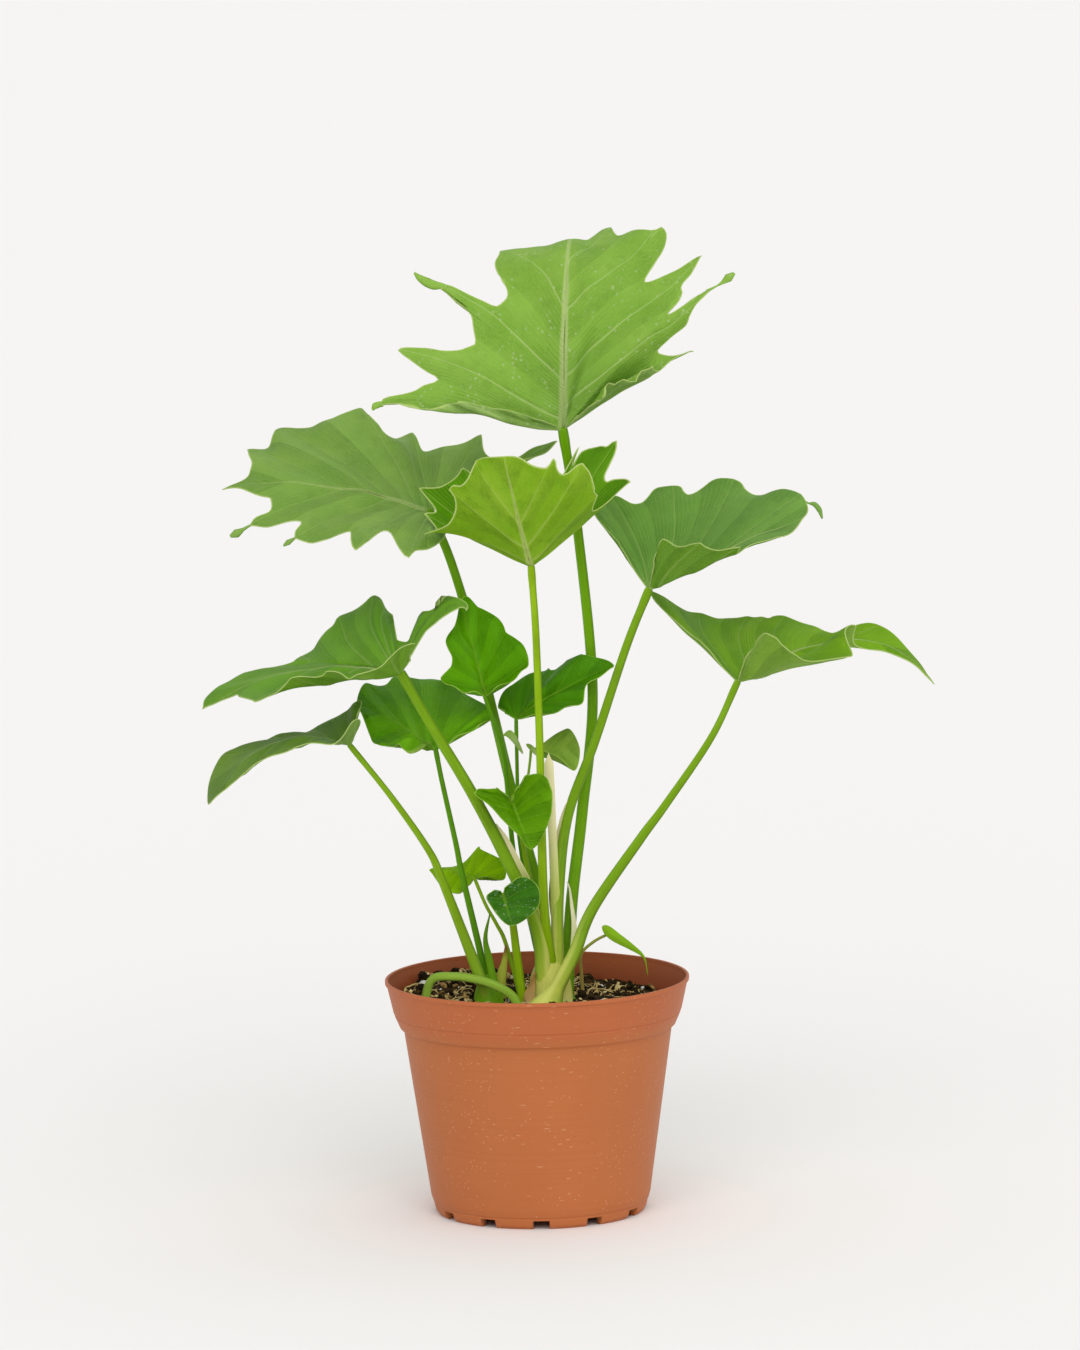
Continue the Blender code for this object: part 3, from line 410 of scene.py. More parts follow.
# Dry sheaths and bud scales, each an arc of a tube that narrows to a point: finish and slot, route,
# radius, the direction its back faces and half its spread at the bottom (degrees), and how blunt it ends.
SHEATHS = {
    "sheath_tall": (
        "sheath_pale", "dry_sheath",
        ((8.9, -4, 259), (9.6, -3, 234), (10.4, -2, 212), (11, -1, 188), (11.5, 0, 164), (11.5, 0.6, 140),
         (11, 0.8, 118)), 4.4, -95, 58, 0.55,
    ),
    "sheath_back": (
        "sheath_cream", "dry_sheath", ((16, 8, 184), (17, 8, 172), (18, 7, 158), (18, 6, 148)),
        5.2, -20, 60, 0,
    ),
    "scale_green": (
        "sheath_green", "petiole_green", ((-26, -6, 170), (-29, -7, 156), (-27, -7, 143), (-23, -7, 120)),
        3.1, -70, 62, 0,
    ),
    "scale_tipped": (
        "sheath_tipped", "dry_sheath", ((-17, 6, 150), (-18, 5, 141), (-20, 4, 132), (-21, 3, 120)),
        4, -90, 62, 0,
    ),
}
PAPERY_SCALE = ((3, -3, 137), (2.6, -3, 131), (2.2, -3, 126), (1.8, -3, 120), (1.4, -3, 114))
# Pale flaps on two petioles: a line, the stretch of it that the flap follows (in points), width, direction
WINGS = {
    "mid_left": (
        ((-58, -24, 282), (-35, -19, 241), (-15, -14, 200), (-2, -9, 160), (3, -4, 124)),
        (1.5, 3.2), 4.2, (1, -0.2, 0.35),
    ),
    "upper_right": (
        ((53, 7, 316), (35, 8, 264), (19, 6, 222), (12, 2, 181), (11, 0, 138)),
        (1.8, 3.4), 2.6, (-1, -0.3, 0.2),
    ),
}
SEEDLING_STALK = ((40.5, 12.3, 153.5), (32, 13, 149), (25, 13, 142), (25, 14, 130), (26, 14, 114))
SEEDLING_LEAF = ((37, 11, 158), (44, 11, 152), (53, 11, 146), (60, 11, 140), (62, 11, 130))
FALLEN_STEM = (
    (-64, -8, 114), (-59, -12, 133), (-46, -17, 136), (-32, -19, 134), (-21, -21, 130), (-13, -22, 124),
    (-8, -24, 112),
)
# Narrow leaves: route and half width
CURLED_LEAFLETS = {
    "curled_leaflet": (((-16.5, -2, 269), (-13.5, -2, 270), (-10, -2, 266.5), (-5.5, -2, 258.5)), 2.3),
    "curled_leaflet_small": (((-3.6, -3, 264), (-1.5, -3, 262.4), (0.8, -3, 260), (3.2, -3, 256.6)), 1.5),
}

# Bits on the soil: finish, how many, the least and greatest size (mm), height to width, how far the centre
# stands above the soil in sizes, and the seed
SOIL_BITS = {
    "soil_clods": ("peat_dark", 900, 0.5, 3.2, 0.75, 0.25, 50),
    "soil_bark": ("bark_brown", 230, 0.6, 2.8, 0.35, 0.4, 60),
    "soil_perlite": ("perlite_white", 220, 0.4, 1.5, 0.9, 0.5, 70),
    "soil_straw": ("straw_bits", 600, 0.4, 1.8, 0.3, 0.6, 80),
}
PERLITE_CHUNK = (-64.0, 30.0)
CHUNK_RADIUS = 2.8
FIBRE_COUNT = 210
DROP_COUNT = 110

# Finishes of the stalks and thin sheets: colour at the top and at the bottom, where one turns to the
# other (shares of the length), how strong the pale streaks are, and which side is cream (-1 left, 1 right)
STALK_FINISHES = {
    "petiole_deep": ((108, 160, 0), (112, 162, 8), (0.4, 1)),
    "petiole_bright": ((136, 174, 8), (136, 174, 16), (0.6, 1)),
    "petiole_fresh": ((122, 162, 16), (150, 184, 56), (0.55, 0.95)),
    "petiole_cream_left": ((116, 158, 16), (208, 216, 88), (0.6, 1), 0.3, -1),
    "petiole_cream_right": ((116, 158, 16), (208, 216, 88), (0.6, 1), 0.3, 1),
    "petiole_dark": ((86, 142, 0), (92, 146, 8), (0.4, 1)),
    "crown_cream": ((200, 202, 98), (238, 230, 158), (0.3, 0.9)),
    "crown_green": ((112, 164, 14), (150, 186, 50), (0.3, 1)),
    "sheath_cream": ((244, 240, 200), (226, 228, 160), (0.2, 1), 0.15),
    "sheath_pale": ((236, 228, 176), (190, 202, 96), (0.2, 0.6), 0.15),
    "sheath_green": ((92, 142, 8), (110, 158, 20), (0.3, 1)),
    "sheath_brown": ((160, 116, 60), (196, 164, 104), (0.1, 0.8)),
    "sheath_tipped": ((136, 88, 40), (184, 192, 66), (0.05, 0.35)),
    "fallen_green": ((150, 188, 66), (140, 180, 50), (0.3, 1)),
    "seedling_brown": ((150, 160, 60), (160, 130, 70), (0.2, 0.8)),
    "seedling_green": ((136, 184, 20), (120, 170, 10), (0.2, 0.9)),
    "leaflet_dull": ((120, 152, 58), (146, 172, 96), (0.2, 0.9)),
}
# Finishes of the soil and its bits: the dark and the light colour, and the roughness
SOIL_FINISHES = {
    "peat_dark": ((18, 14, 6), (74, 54, 22), 0.9),
    "bark_brown": ((92, 64, 30), (206, 168, 104), 0.9),
    "perlite_white": ((205, 202, 190), (235, 233, 226), 0.9),
    "straw_bits": ((190, 160, 96), (244, 226, 166), 0.8),
    "fibre_tan": ((176, 146, 84), (238, 216, 156), 0.8),
}

# ---------------------------------------------------------------- shapes


def unit(vectors):
    return vectors / (np.linalg.norm(vectors, axis=-1, keepdims=True) + 1e-12)


def smooth(values, low, high):
    """0 below low, 1 above high, and a smooth step (3t^2 - 2t^3) between."""
    t = np.clip((values - low) / (high - low), 0, 1)
    return t * t * (3 - 2 * t)


def bell(values, width):
    """The bell curve e^(-(x / width)^2)."""
    return np.exp(-((values / width) ** 2))


def turns(count):
    """That many even angles round a circle."""
    return np.linspace(0, 2 * math.pi, count, endpoint=False)


def turned(radius, angle, height):
    """Points at a radius, an angle and a height round +Z: (R cos a, R sin a, h)."""
    return np.stack(np.broadcast_arrays(radius * np.cos(angle), radius * np.sin(angle), height), axis=-1)


def spline(points, at):
    """The smooth (Catmull-Rom) curve through points, at positions counted in points from 0."""
    points = np.asarray(points, float)
    padded = np.vstack([2 * points[0] - points[1], points, 2 * points[-1] - points[-2]])
    start = np.clip(np.floor(at).astype(int), 0, len(points) - 2)
    t = (at - start)[:, None]
    a, b, c, d = (padded[start + k] for k in range(4))
    return b + 0.5 * t * (c - a + t * (2 * a - 5 * b + 4 * c - d + t * (3 * (b - c) + d - a)))


def lattice_noise(x, y, cell, seed):
    """Smooth noise of about -1..1: seeded random values on a square lattice of side cell, blended."""
    table = np.random.default_rng(seed).uniform(-1, 1, (64, 64))
    x, y = x / cell + 1000, y / cell + 1000
    i, j = np.floor(x).astype(int), np.floor(y).astype(int)
    s, t = smooth(x - i, 0, 1), smooth(y - j, 0, 1)
    near = table[i % 64, j % 64] * (1 - s) + table[(i + 1) % 64, j % 64] * s
    far = table[i % 64, (j + 1) % 64] * (1 - s) + table[(i + 1) % 64, (j + 1) % 64] * s
    return near * (1 - t) + far * t


def normals(grid):
    """The unit normals of a surface given as a grid of points (columns, rows, xyz)."""
    return unit(np.cross(np.gradient(grid, axis=1), np.gradient(grid, axis=0)))


def piece(name, points, faces, kind, attributes=None):
    """A mesh object from points in mm and its faces, riding on the plant's body.

    kind is its finish, its slot (which is not used), and the nodes that it replaces.
    """
    finish, slot, replaced = kind
    mesh = bpy.data.meshes.new(name)
    points = np.asarray(points, float) * MM
    sizes = np.concatenate([np.full(len(block), block.shape[1]) for block in faces])
    corners = np.concatenate([block.reshape(-1) for block in faces])
    mesh.vertices.add(len(points))
    mesh.vertices.foreach_set("co", points.reshape(-1))
    mesh.loops.add(len(corners))
    mesh.loops.foreach_set("vertex_index", corners)
    mesh.polygons.add(len(sizes))
    mesh.polygons.foreach_set("loop_start", np.concatenate([[0], np.cumsum(sizes)[:-1]]))
    for key, values in (attributes or {}).items():
        layer = mesh.attributes.new(key, "FLOAT_VECTOR", "POINT")
        layer.data.foreach_set("vector", np.asarray(values, float).reshape(-1))
    mesh.update(calc_edges=True)
    mesh.validate()
    mesh.shade_smooth()
    mesh.materials.append(bpy.data.materials[finish])
    made = bpy.data.objects.new(name, mesh)
    bpy.context.scene.collection.objects.link(made)
    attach(made, BODY)
    if replaced:
        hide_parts(*replaced)


def grid_faces(columns, rows, wrap=False):
    """Quads of a grid of columns x rows points, numbered row by row in each column."""
    index = np.arange(columns * rows).reshape(columns, rows)
    if wrap:
        index = np.vstack([index, index[:1]])
    quads = np.stack([index[:-1, :-1], index[:-1, 1:], index[1:, 1:], index[1:, :-1]], axis=-1)
    return quads.reshape(-1, 4)


def closed_tube(rings):
    """Points and faces of a tube from its rings (ring, around, xyz), closed by a point at each end."""
    count, around, _ = rings.shape
    points = np.concatenate([rings.reshape(-1, 3), rings[[0, -1]].mean(axis=1)])
    side = grid_faces(around, count, wrap=True)
    side = (side % count) * around + side // count
    k = np.arange(around)
    after = (k + 1) % around
    end = (count - 1) * around
    first, last = np.full(around, count * around), np.full(around, count * around + 1)
    caps = [np.stack([after, k, first], axis=1), np.stack([end + k, end + after, last], axis=1)]
    return points, [side[:, ::-1], *caps]


def lathed(grid):
    """A closed solid from a grid (angle, profile point, xyz), from the middle of its top to its base's."""
    points, faces = closed_tube(np.moveaxis(grid, 1, 0))
    return points, [block[:, ::-1] for block in faces]


def tube_rings(points, radii, factors, up=(0.0, 1.0, 0.0)):
    """Rings round paths: point + radius * factor * (cos a * side + sin a * back), for even angles a.

    The side is square to the path and to up, and the back is square to both.
    """
    along = unit(np.gradient(points, axis=-2))
    side = unit(np.cross(along, up))
    back = np.cross(along, side)[..., None, :]
    angle = turns(len(factors))[:, None]
    ring = factors[:, None] * (np.cos(angle) * side[..., None, :] + np.sin(angle) * back)
    return points[..., None, :] + radii[..., None, None] * ring


def repeated(points, faces):
    """Points (copy, point, xyz) as one list, and the faces of one copy repeated for every copy."""
    shift = np.arange(len(points))[:, None, None] * points.shape[1]
    return points.reshape(-1, 3), [(block + shift).reshape(-1, block.shape[1]) for block in faces]


def scattered(shape, faces, centres, sizes, seed):
    """Copies of one small shape, each turned at random (a random unit quaternion), scaled and moved."""
    random = np.random.default_rng(seed)
    w, x, y, z = unit(random.normal(size=(len(centres), 4))).T
    turn = np.stack([
        1 - 2 * (y * y + z * z), 2 * (x * y - z * w), 2 * (x * z + y * w),
        2 * (x * y + z * w), 1 - 2 * (x * x + z * z), 2 * (y * z - x * w),
        2 * (x * z - y * w), 2 * (y * z + x * w), 1 - 2 * (x * x + y * y),
    ], axis=-1).reshape(-1, 3, 3)
    points = np.einsum("nij,nvj->nvi", turn, shape * sizes[:, None, :]) + centres[:, None]
    return repeated(points, faces)


def ball(tilt, turn, size=1):
    """Points of a unit ball, at angles from +Z and round it, its width multiplied by size."""
    return turned(size * np.sin(tilt), turn, np.cos(tilt))


def pebble(around, rings, roughness, seed):
    """A small lumpy ball: rings of a sphere, each point moved out or in at random."""
    random = np.random.default_rng(seed)
    shape = ball(np.linspace(math.pi, 0, rings + 2)[1:-1, None], turns(around))
    return closed_tube(shape * (1 + roughness * random.uniform(-1, 1, (rings, around, 1))))


# ---------------------------------------------------------------- finishes


class Term:
    """A socket in a material's graph. Arithmetic on terms adds Math nodes."""

    def __init__(self, tree, socket=None):
        self.tree, self.socket = tree, socket

    def node(self, kind, settings=None, values=None, output=0):
        """The output of a new node: its settings are set first, then its sockets' values or links."""
        made = self.tree.nodes.new(kind)
        for key, value in (settings or {}).items():
            setattr(made, key, value)
        for key, value in (values or {}).items():
            if isinstance(value, Term):
                self.tree.links.new(value.socket, made.inputs[key])
            else:
                made.inputs[key].default_value = value
        return Term(self.tree, made.outputs[output] if made.outputs else None)

    def math(self, operation, first, second=0.0):
        return self.node("ShaderNodeMath", {"operation": operation}, {0: first, 1: second})

    def __add__(self, other):
        return self.math("ADD", self, other)

    __radd__ = __add__

    def __sub__(self, other):
        return self.math("SUBTRACT", self, other)

    def __rsub__(self, other):
        return self.math("SUBTRACT", other, self)

    def __mul__(self, other):
        return self.math("MULTIPLY", self, other)

    __rmul__ = __mul__

    def __truediv__(self, other):
        return self.math("DIVIDE", self, other)

    def __abs__(self):
        return self.math("ABSOLUTE", self)

    def round(self):
        return self.math("ROUND", self)

    def step(self, low, high):
        """0 below low, 1 above high, smooth between; low above high turns it round."""
        values = {"Value": self, "From Min": low, "From Max": high}
        return self.node("ShaderNodeMapRange", {"interpolation_type": "SMOOTHSTEP"}, values)

    def mix(self, first, second):
        """The colour first where this term is 0, and second where it is 1."""
        first, second = (c if isinstance(c, Term) else (*c, 1) for c in (first, second))
        return self.node("ShaderNodeMix", {"data_type": "RGBA"}, {0: self, 6: first, 7: second}, 2)

    def attribute(self, name):
        """The three parts of a vector attribute of the mesh."""
        return self.node("ShaderNodeAttribute", {"attribute_name": name}, None, 1).parts()

    def parts(self):
        split = self.node("ShaderNodeSeparateXYZ", None, {0: self}).socket.node
        return [Term(self.tree, output) for output in split.outputs]

    def place(self, stretch=(1.0, 1.0, 1.0)):
        """Object coordinates in metres, each stretched."""
        where = self.node("ShaderNodeTexCoord", None, None, 3)
        return self.node("ShaderNodeVectorMath", {"operation": "MULTIPLY"}, {0: where, 1: stretch})

    def noise(self, scale, detail=3.0, roughness=0.55):
        """Smooth noise over this vector."""
        values = {"Vector": self, "Scale": scale, "Detail": detail, "Roughness": roughness}
        return self.node("ShaderNodeTexNoise", None, values)

    def cells(self, scale):
        """The distance to the nearest of randomly placed points, over this vector."""
        return self.node("ShaderNodeTexVoronoi", None, {"Vector": self, "Scale": scale})

    def bump(self, strength, distance):
        """The normal of a surface raised by this height."""
        values = {"Height": self, "Strength": strength, "Distance": distance}
        return self.node("ShaderNodeBump", None, values)


def blank(name):
    """The empty graph of a new material."""
    made = bpy.data.materials.new(name)
    made.use_nodes = True
    made.node_tree.nodes.clear()
    return Term(made.node_tree)


def finish(term, base, values, glow=None, share=0.0):
    """Ends a material's graph: a Principled shader; a share of it lets light through in the glow colour."""
    shader = term.node("ShaderNodeBsdfPrincipled", None, {"Base Color": base, **values})
    if glow:
        through = term.node("ShaderNodeBsdfTranslucent", None, {"Color": (*glow, 1)})
        shader = term.node("ShaderNodeMixShader", None, {0: share, 1: shader, 2: through})
    term.node("ShaderNodeOutputMaterial", None, {"Surface": shader})


def colour(red, green, blue):
    """Linear colour from the usual 0..255 display values."""
    shares = np.array([red, green, blue]) / 255
    return tuple(np.where(shares < 0.04045, shares / 12.92, ((shares + 0.055) / 1.055) ** 2.4))


def darker(shade, share=0.74):
    return tuple(value * share for value in shade)


# ---------------------------------------------------------------- leaves


def vein_arcs(plan):
    """The veins' tips, the control points of their arcs, and the leaf's upper side, from the joint."""
    tips = np.array([vein[:3] for vein in plan["veins"]], float)
    up = unit(np.cross(tips[:-1], tips[1:]).sum(axis=0))
    midrib = tips[plan["tip_vein"]]
    controls = []
    for vein, tip in zip(plan["veins"], tips):
        if len(vein) == 6:
            middle = np.array(vein[3:], float)
        else:
            bow, lean = (*vein[3:], 0, 0)[:2]
            across = midrib - (midrib @ tip) * tip / (tip @ tip)
            middle = tip / 2 + bow * up + lean * unit(across)
        controls.append(2 * middle - tip / 2)
    return tips, np.array(controls), up


def fan(tips, controls, u, r):
    """The blade's surface at vein positions u and shares r of their arcs: 2r(1 - r)C + r^2 T."""
    tip, control = (spline(points, u.ravel()).reshape(*u.shape, 3) for points in (tips, controls))
    return 2 * (r * (1 - r))[..., None] * control + (r * r)[..., None] * tip


def margin(plan, u):
    """How far the blade reaches along its arc at the vein position u.

    It is 1 at a vein. Between two veins it is cut back by cut * (1 - |2t - 1|^2.4)^point, or follows the
    smooth curve through the leaf's own (t, reach) points there. At some veins it is drawn out into a
    narrow tail of the given length.
    """
    interval = np.clip(np.floor(u).astype(int), 0, len(plan["cuts"]) - 1)
    t = np.clip(u - interval, 0, 1)
    dip = (1 - np.abs(2 * t - 1) ** 2.4) ** plan["point"]
    reach = 1 - plan["lobed"] * (np.array(plan["cuts"]) / 100)[interval] * dip
    for k, points in plan["edge"].items():
        first, last = (plan["ends"].get(vein, 100) for vein in (k, k + 1))
        ends = np.array([(0, first), *points, (100, last)]) / 100
        curve = spline(ends, np.linspace(0, len(ends) - 1, 200))
        along = np.maximum.accumulate(curve[:, 0] + np.linspace(0, 1e-6, 200))
        reach = np.where(interval == k, np.interp(t, along, curve[:, 1]), reach)
    for vein, length in plan["tails"].items():
        reach = reach + length * bell(u - vein, TAIL_WIDTH)
    return reach


def column_places(plan, tips, controls, count):
    """Vein positions u of the grid's columns: even steps along the margin, and one on each vein.

    The steps are even in (length along the margin) + 0.4 (length along the arc at r = 0.5).
    """
    fine = np.linspace(0, len(tips) - 1, 80 * len(tips))
    rim = fan(tips, controls, fine, margin(plan, fine))
    ring = fan(tips, controls, fine, np.full(len(fine), 0.5))
    steps = [np.linalg.norm(np.diff(line, axis=0), axis=1).cumsum() for line in (rim, ring)]
    length = np.concatenate([[0], steps[0] + 0.4 * steps[1]])
    even = np.interp(np.linspace(0, length[-1], count), length, fine)
    near_vein = np.abs(even - np.round(even)) < 0.015
    return np.unique(np.concatenate([even[~near_vein], np.arange(len(tips))]))


def vein_number(place, u, middle, branches):
    """Which vein, counted from the midrib, passes through each point of the leaf.

    The blade is laid out flat in polar coordinates: the length s along its arc, and the angle that grows
    by (distance across) / s from arc to arc. Vein n leaves the midrib at branches[n] of its length and runs
    straight to its own tip, and a point is past it where (tip - branch) x (point - branch) > 0.
    branches holds the side of the higher u first.
    """
    ahead = np.diff(place, axis=1, prepend=0 * place[:, :1])
    length = np.linalg.norm(ahead, axis=-1).cumsum(axis=1)
    along = unit(unit(ahead[1:]) + unit(ahead[:-1]))
    step = np.diff(place, axis=0)
    across = np.linalg.norm(step - (step * along).sum(axis=-1, keepdims=True) * along, axis=-1)
    angle = np.vstack([0 * length[:1], (2 * across / (length[1:] + length[:-1])).cumsum(axis=0)])
    angle = np.minimum(np.abs(angle - angle[middle]), 3.0)
    x, y = length * np.cos(angle), length * np.sin(angle)
    number = []
    for side, leaving in zip((slice(middle, None), slice(middle, None, -1)), branches):
        offset = np.abs(u[side] - u[middle])
        whole = np.argmin(np.abs(offset[:, None] - np.arange(round(offset[-1]) + 1)), axis=0)
        n = np.linspace(0, offset[-1], 90)
        start = np.interp(n, np.arange(len(leaving)), leaving) * length[middle, -1]
        end_x = np.interp(n, offset[whole], x[side][whole, -1])
        end_y = np.interp(n, offset[whole], y[side][whole, -1])
        past = (end_x - start) * y[side][..., None] - end_y * (x[side][..., None] - start)
        below = np.clip((past > 0).sum(axis=-1), 1, len(n) - 1)
        low = np.take_along_axis(past, below[..., None] - 1, -1)[..., 0]
        high = np.take_along_axis(past, below[..., None], -1)[..., 0]
        number.append(n[below - 1] + n[1] * np.clip(low / (low - high + 1e-9), 0, 1))
    return np.vstack([number[1][:0:-1], number[0]])


def steepness(values, place):
    """How fast values change along the surface, per mm.

    With a and b the surface's two grid steps, and p and q the values' changes over them, it is
    sqrt((p^2 |b|^2 - 2pq a.b + q^2 |a|^2) / (|a|^2 |b|^2 - (a.b)^2)).
    """
    p, q = np.gradient(values)
    a, b = np.gradient(place, axis=(0, 1))
    aa, bb, ab = ((first * second).sum(axis=-1) for first, second in ((a, a), (b, b), (a, b)))
    return np.sqrt(np.clip(p * p * bb - 2 * p * q * ab + q * q * aa, 0, None) / (aa * bb - ab * ab + 1e-9))


def nearest_distance(place, line, finer):
    """From each point of a grid to a line, made finer: the root of |a|^2 + |b|^2 - 2ab at its least."""
    line = spline(line, np.linspace(0, len(line) - 1, finer * len(line)))
    middle = line.mean(axis=0)
    points, line = place.reshape(-1, 3) - middle, line - middle
    square = (points**2).sum(axis=1)[:, None] + (line**2).sum(axis=1) - 2 * points @ line.T
    return np.sqrt(np.clip(square.min(axis=1), 0, None)).reshape(place.shape[:2])


def shell(grid, thickness, rib=0.0):
    """Points and faces of a thin closed sheet round a grid of points, with a rounded rim.

    rib is how much further the lower side stands off, where a vein runs under the sheet.
    Also gives the index of the grid point that each point came from, and its side (0 upper, 1 lower).
    """
    columns, rows, _ = grid.shape
    normal = normals(grid)
    upper = (grid + thickness / 2 * normal).reshape(-1, 3)
    lower = (grid - (thickness / 2 + np.asarray(rib)[..., None]) * normal).reshape(-1, 3)
    count = columns * rows
    index = np.arange(count).reshape(columns, rows)
    loop = np.concatenate([index[0, :-1], index[:-1, -1], index[-1, :0:-1], index[:0:-1, 0]])
    inner = np.clip(np.arange(columns), 1, columns - 2)[:, None], np.clip(np.arange(rows), 1, rows - 2)
    inward = index[inner].reshape(-1)[loop]
    flat = grid.reshape(-1, 3)
    rim = flat[loop] + thickness * 0.35 * unit(flat[loop] - flat[inward])
    top = grid_faces(columns, rows)
    a = 2 * count + np.arange(len(loop))
    b = np.roll(a, -1)
    after = np.roll(loop, -1)
    edge_up = np.stack([loop, a, b, after], axis=1)
    edge_low = np.stack([a, count + loop, count + after, b], axis=1)
    source = np.concatenate([np.arange(count), np.arange(count), loop])
    side = np.repeat([0, 1, 0.5], [count, count, len(loop)])
    return np.vstack([upper, lower, rim]), [top, count + top[:, ::-1], edge_up, edge_low], source, side


def leaf(name):
    """A leaf blade: the fan of its vein arcs, with its relief.

    Over each vein the blade dips, and between two veins it swells as sin^2(pi n). Towards the margin
    it waves as sin(w u).
    """
    plan = {**PLAIN, **LEAVES[name]}
    tips, controls, up = vein_arcs(plan)
    intervals = len(tips) - 1
    columns, rows = LEAF_GRID if intervals >= 10 else SMALL_LEAF_GRID
    u = column_places(plan, tips, controls, intervals * columns)
    until, missing = plan["near_cut"]
    near = np.clip(1 - u / until, 0, 1)
    rim_u = u + near * missing[-1][1]
    reach = margin(plan, rim_u)
    start = 0.5 * plan["radii"][0] / (2 * np.linalg.norm(spline(controls, u), axis=1))
    core = 0.85 * reach.min()
    v = np.linspace(0, 2, rows)
    inner, outer = np.minimum(v, 1), 1 - (2 - np.maximum(v, 1)) ** 1.4
    r = start[:, None] + inner * (core - start)[:, None] + outer * (reach - core)[:, None]
    out_to = r / reach[:, None]
    vein = u[:, None] + near[:, None] * np.interp(out_to, *zip(*missing))
    place = fan(tips, controls, vein, r)
    middle = np.argmin(np.abs(rim_u - plan["tip_vein"]))
    number = vein_number(place, rim_u, middle, plan["branches"])
    from_midrib = nearest_distance(place, place[middle], 6)
    from_edge = nearest_distance(place, np.concatenate([place[0], place[:, -1], place[-1]]), 4)
    spacing = np.clip(1 / np.clip(steepness(number, place), 0.016, None), 0, 60)

    from_vein = np.abs(number - np.round(number)) * spacing
    size = np.linalg.norm(tips, axis=1).mean()
    inside = smooth(from_edge, 0, FLAT_RIM * size)
    swell = plan["quilt"] * np.sin(math.pi * number) ** 2 * inside * smooth(spacing * r, 1, 8)
    groove = (0.35 * bell(from_vein, 1.3) + 0.15 * bell(from_midrib, 3.0)) * inside
    out = (1 - smooth(from_edge, 0, WAVY_RIM * size)) * smooth(r, 0.35, 0.85)
    wave = plan["wave"] * out * np.sin(WAVES * math.pi * vein)
    for (low, high), (height, waves) in plan["ruffles"].items():
        here = smooth(vein, low, low + 0.3) * (1 - smooth(vein, high - 0.3, high))
        wave += height * here * np.sin(2 * math.pi * waves * vein) * smooth(out_to, 0.55, 1)
    x, _, z = np.moveaxis(place, -1, 0)
    crumple = plan["crumple"] * lattice_noise(x, z, 15, 3) * smooth(r, 0.1, 0.5)
    crumple += 0.5 * plan["wave"] * lattice_noise(x, z, 8, 4) * out**2
    curl = 1.5 * size * np.clip(r - CURL_FROM, 0, 1) ** 1.5
    relief = swell - groove + wave + crumple
    place = place + relief[..., None] * normals(place) - curl[..., None] * up + np.array(plan["joint"])
    rib = plan["rib"] * (1 - 0.85 * r) * bell(from_midrib, 1.3)
    rib += 0.45 * (1 - 0.7 * r) * bell(from_vein, 0.8)
    rib *= inside * smooth(r, 0.04, 0.2)

    points, faces, source, side = shell(place, LEAF_THICKNESS, rib)
    veins, where = (
        np.stack(values, axis=-1).reshape(-1, len(values))[source]
        for values in ((number, spacing, from_midrib), (r, from_edge))
    )
    leaf_finish(f"leaf_{name}", plan)
    piece(
        f"leaf_{name}", points, faces, (f"leaf_{name}", plan["slot"], (f"blade_{name}",)),
        {"veins": veins, "place": np.column_stack([where, side])},
    )
    for k, (lobe, route, radii) in enumerate(plan["curls"], start=1):
        end = np.argmin(np.abs(rim_u - lobe))
        inward = unit(place[end, -6] - place[end, -1])
        line = np.vstack([2 * inward, np.zeros(3), route]) + place[end, -1]
        rolled_tip(f"leaf_{name}_curl_{k}", line, radii, (f"leaf_{name}", plan["slot"], ()))


def rolled_tip(name, line, radii, kind):
    """The dried, rolled-up end of a lobe: a flat tube with the given radius at each point of its line."""
    share = np.linspace(0, len(line) - 1, 7 * len(line))
    widths = np.interp(share, np.arange(len(line)), radii)
    angle = turns(12)
    section = 1 / np.sqrt(np.cos(angle) ** 2 + (np.sin(angle) / 0.5) ** 2)
    points, faces = closed_tube(tube_rings(spline(line, share), widths, section))
    far = 40.0
    veins, place = (np.tile(values, (len(points), 1)) for values in ((0.5, far, far), (0.98, far, 0)))
    piece(name, points, faces, kind, {"veins": veins, "place": place})


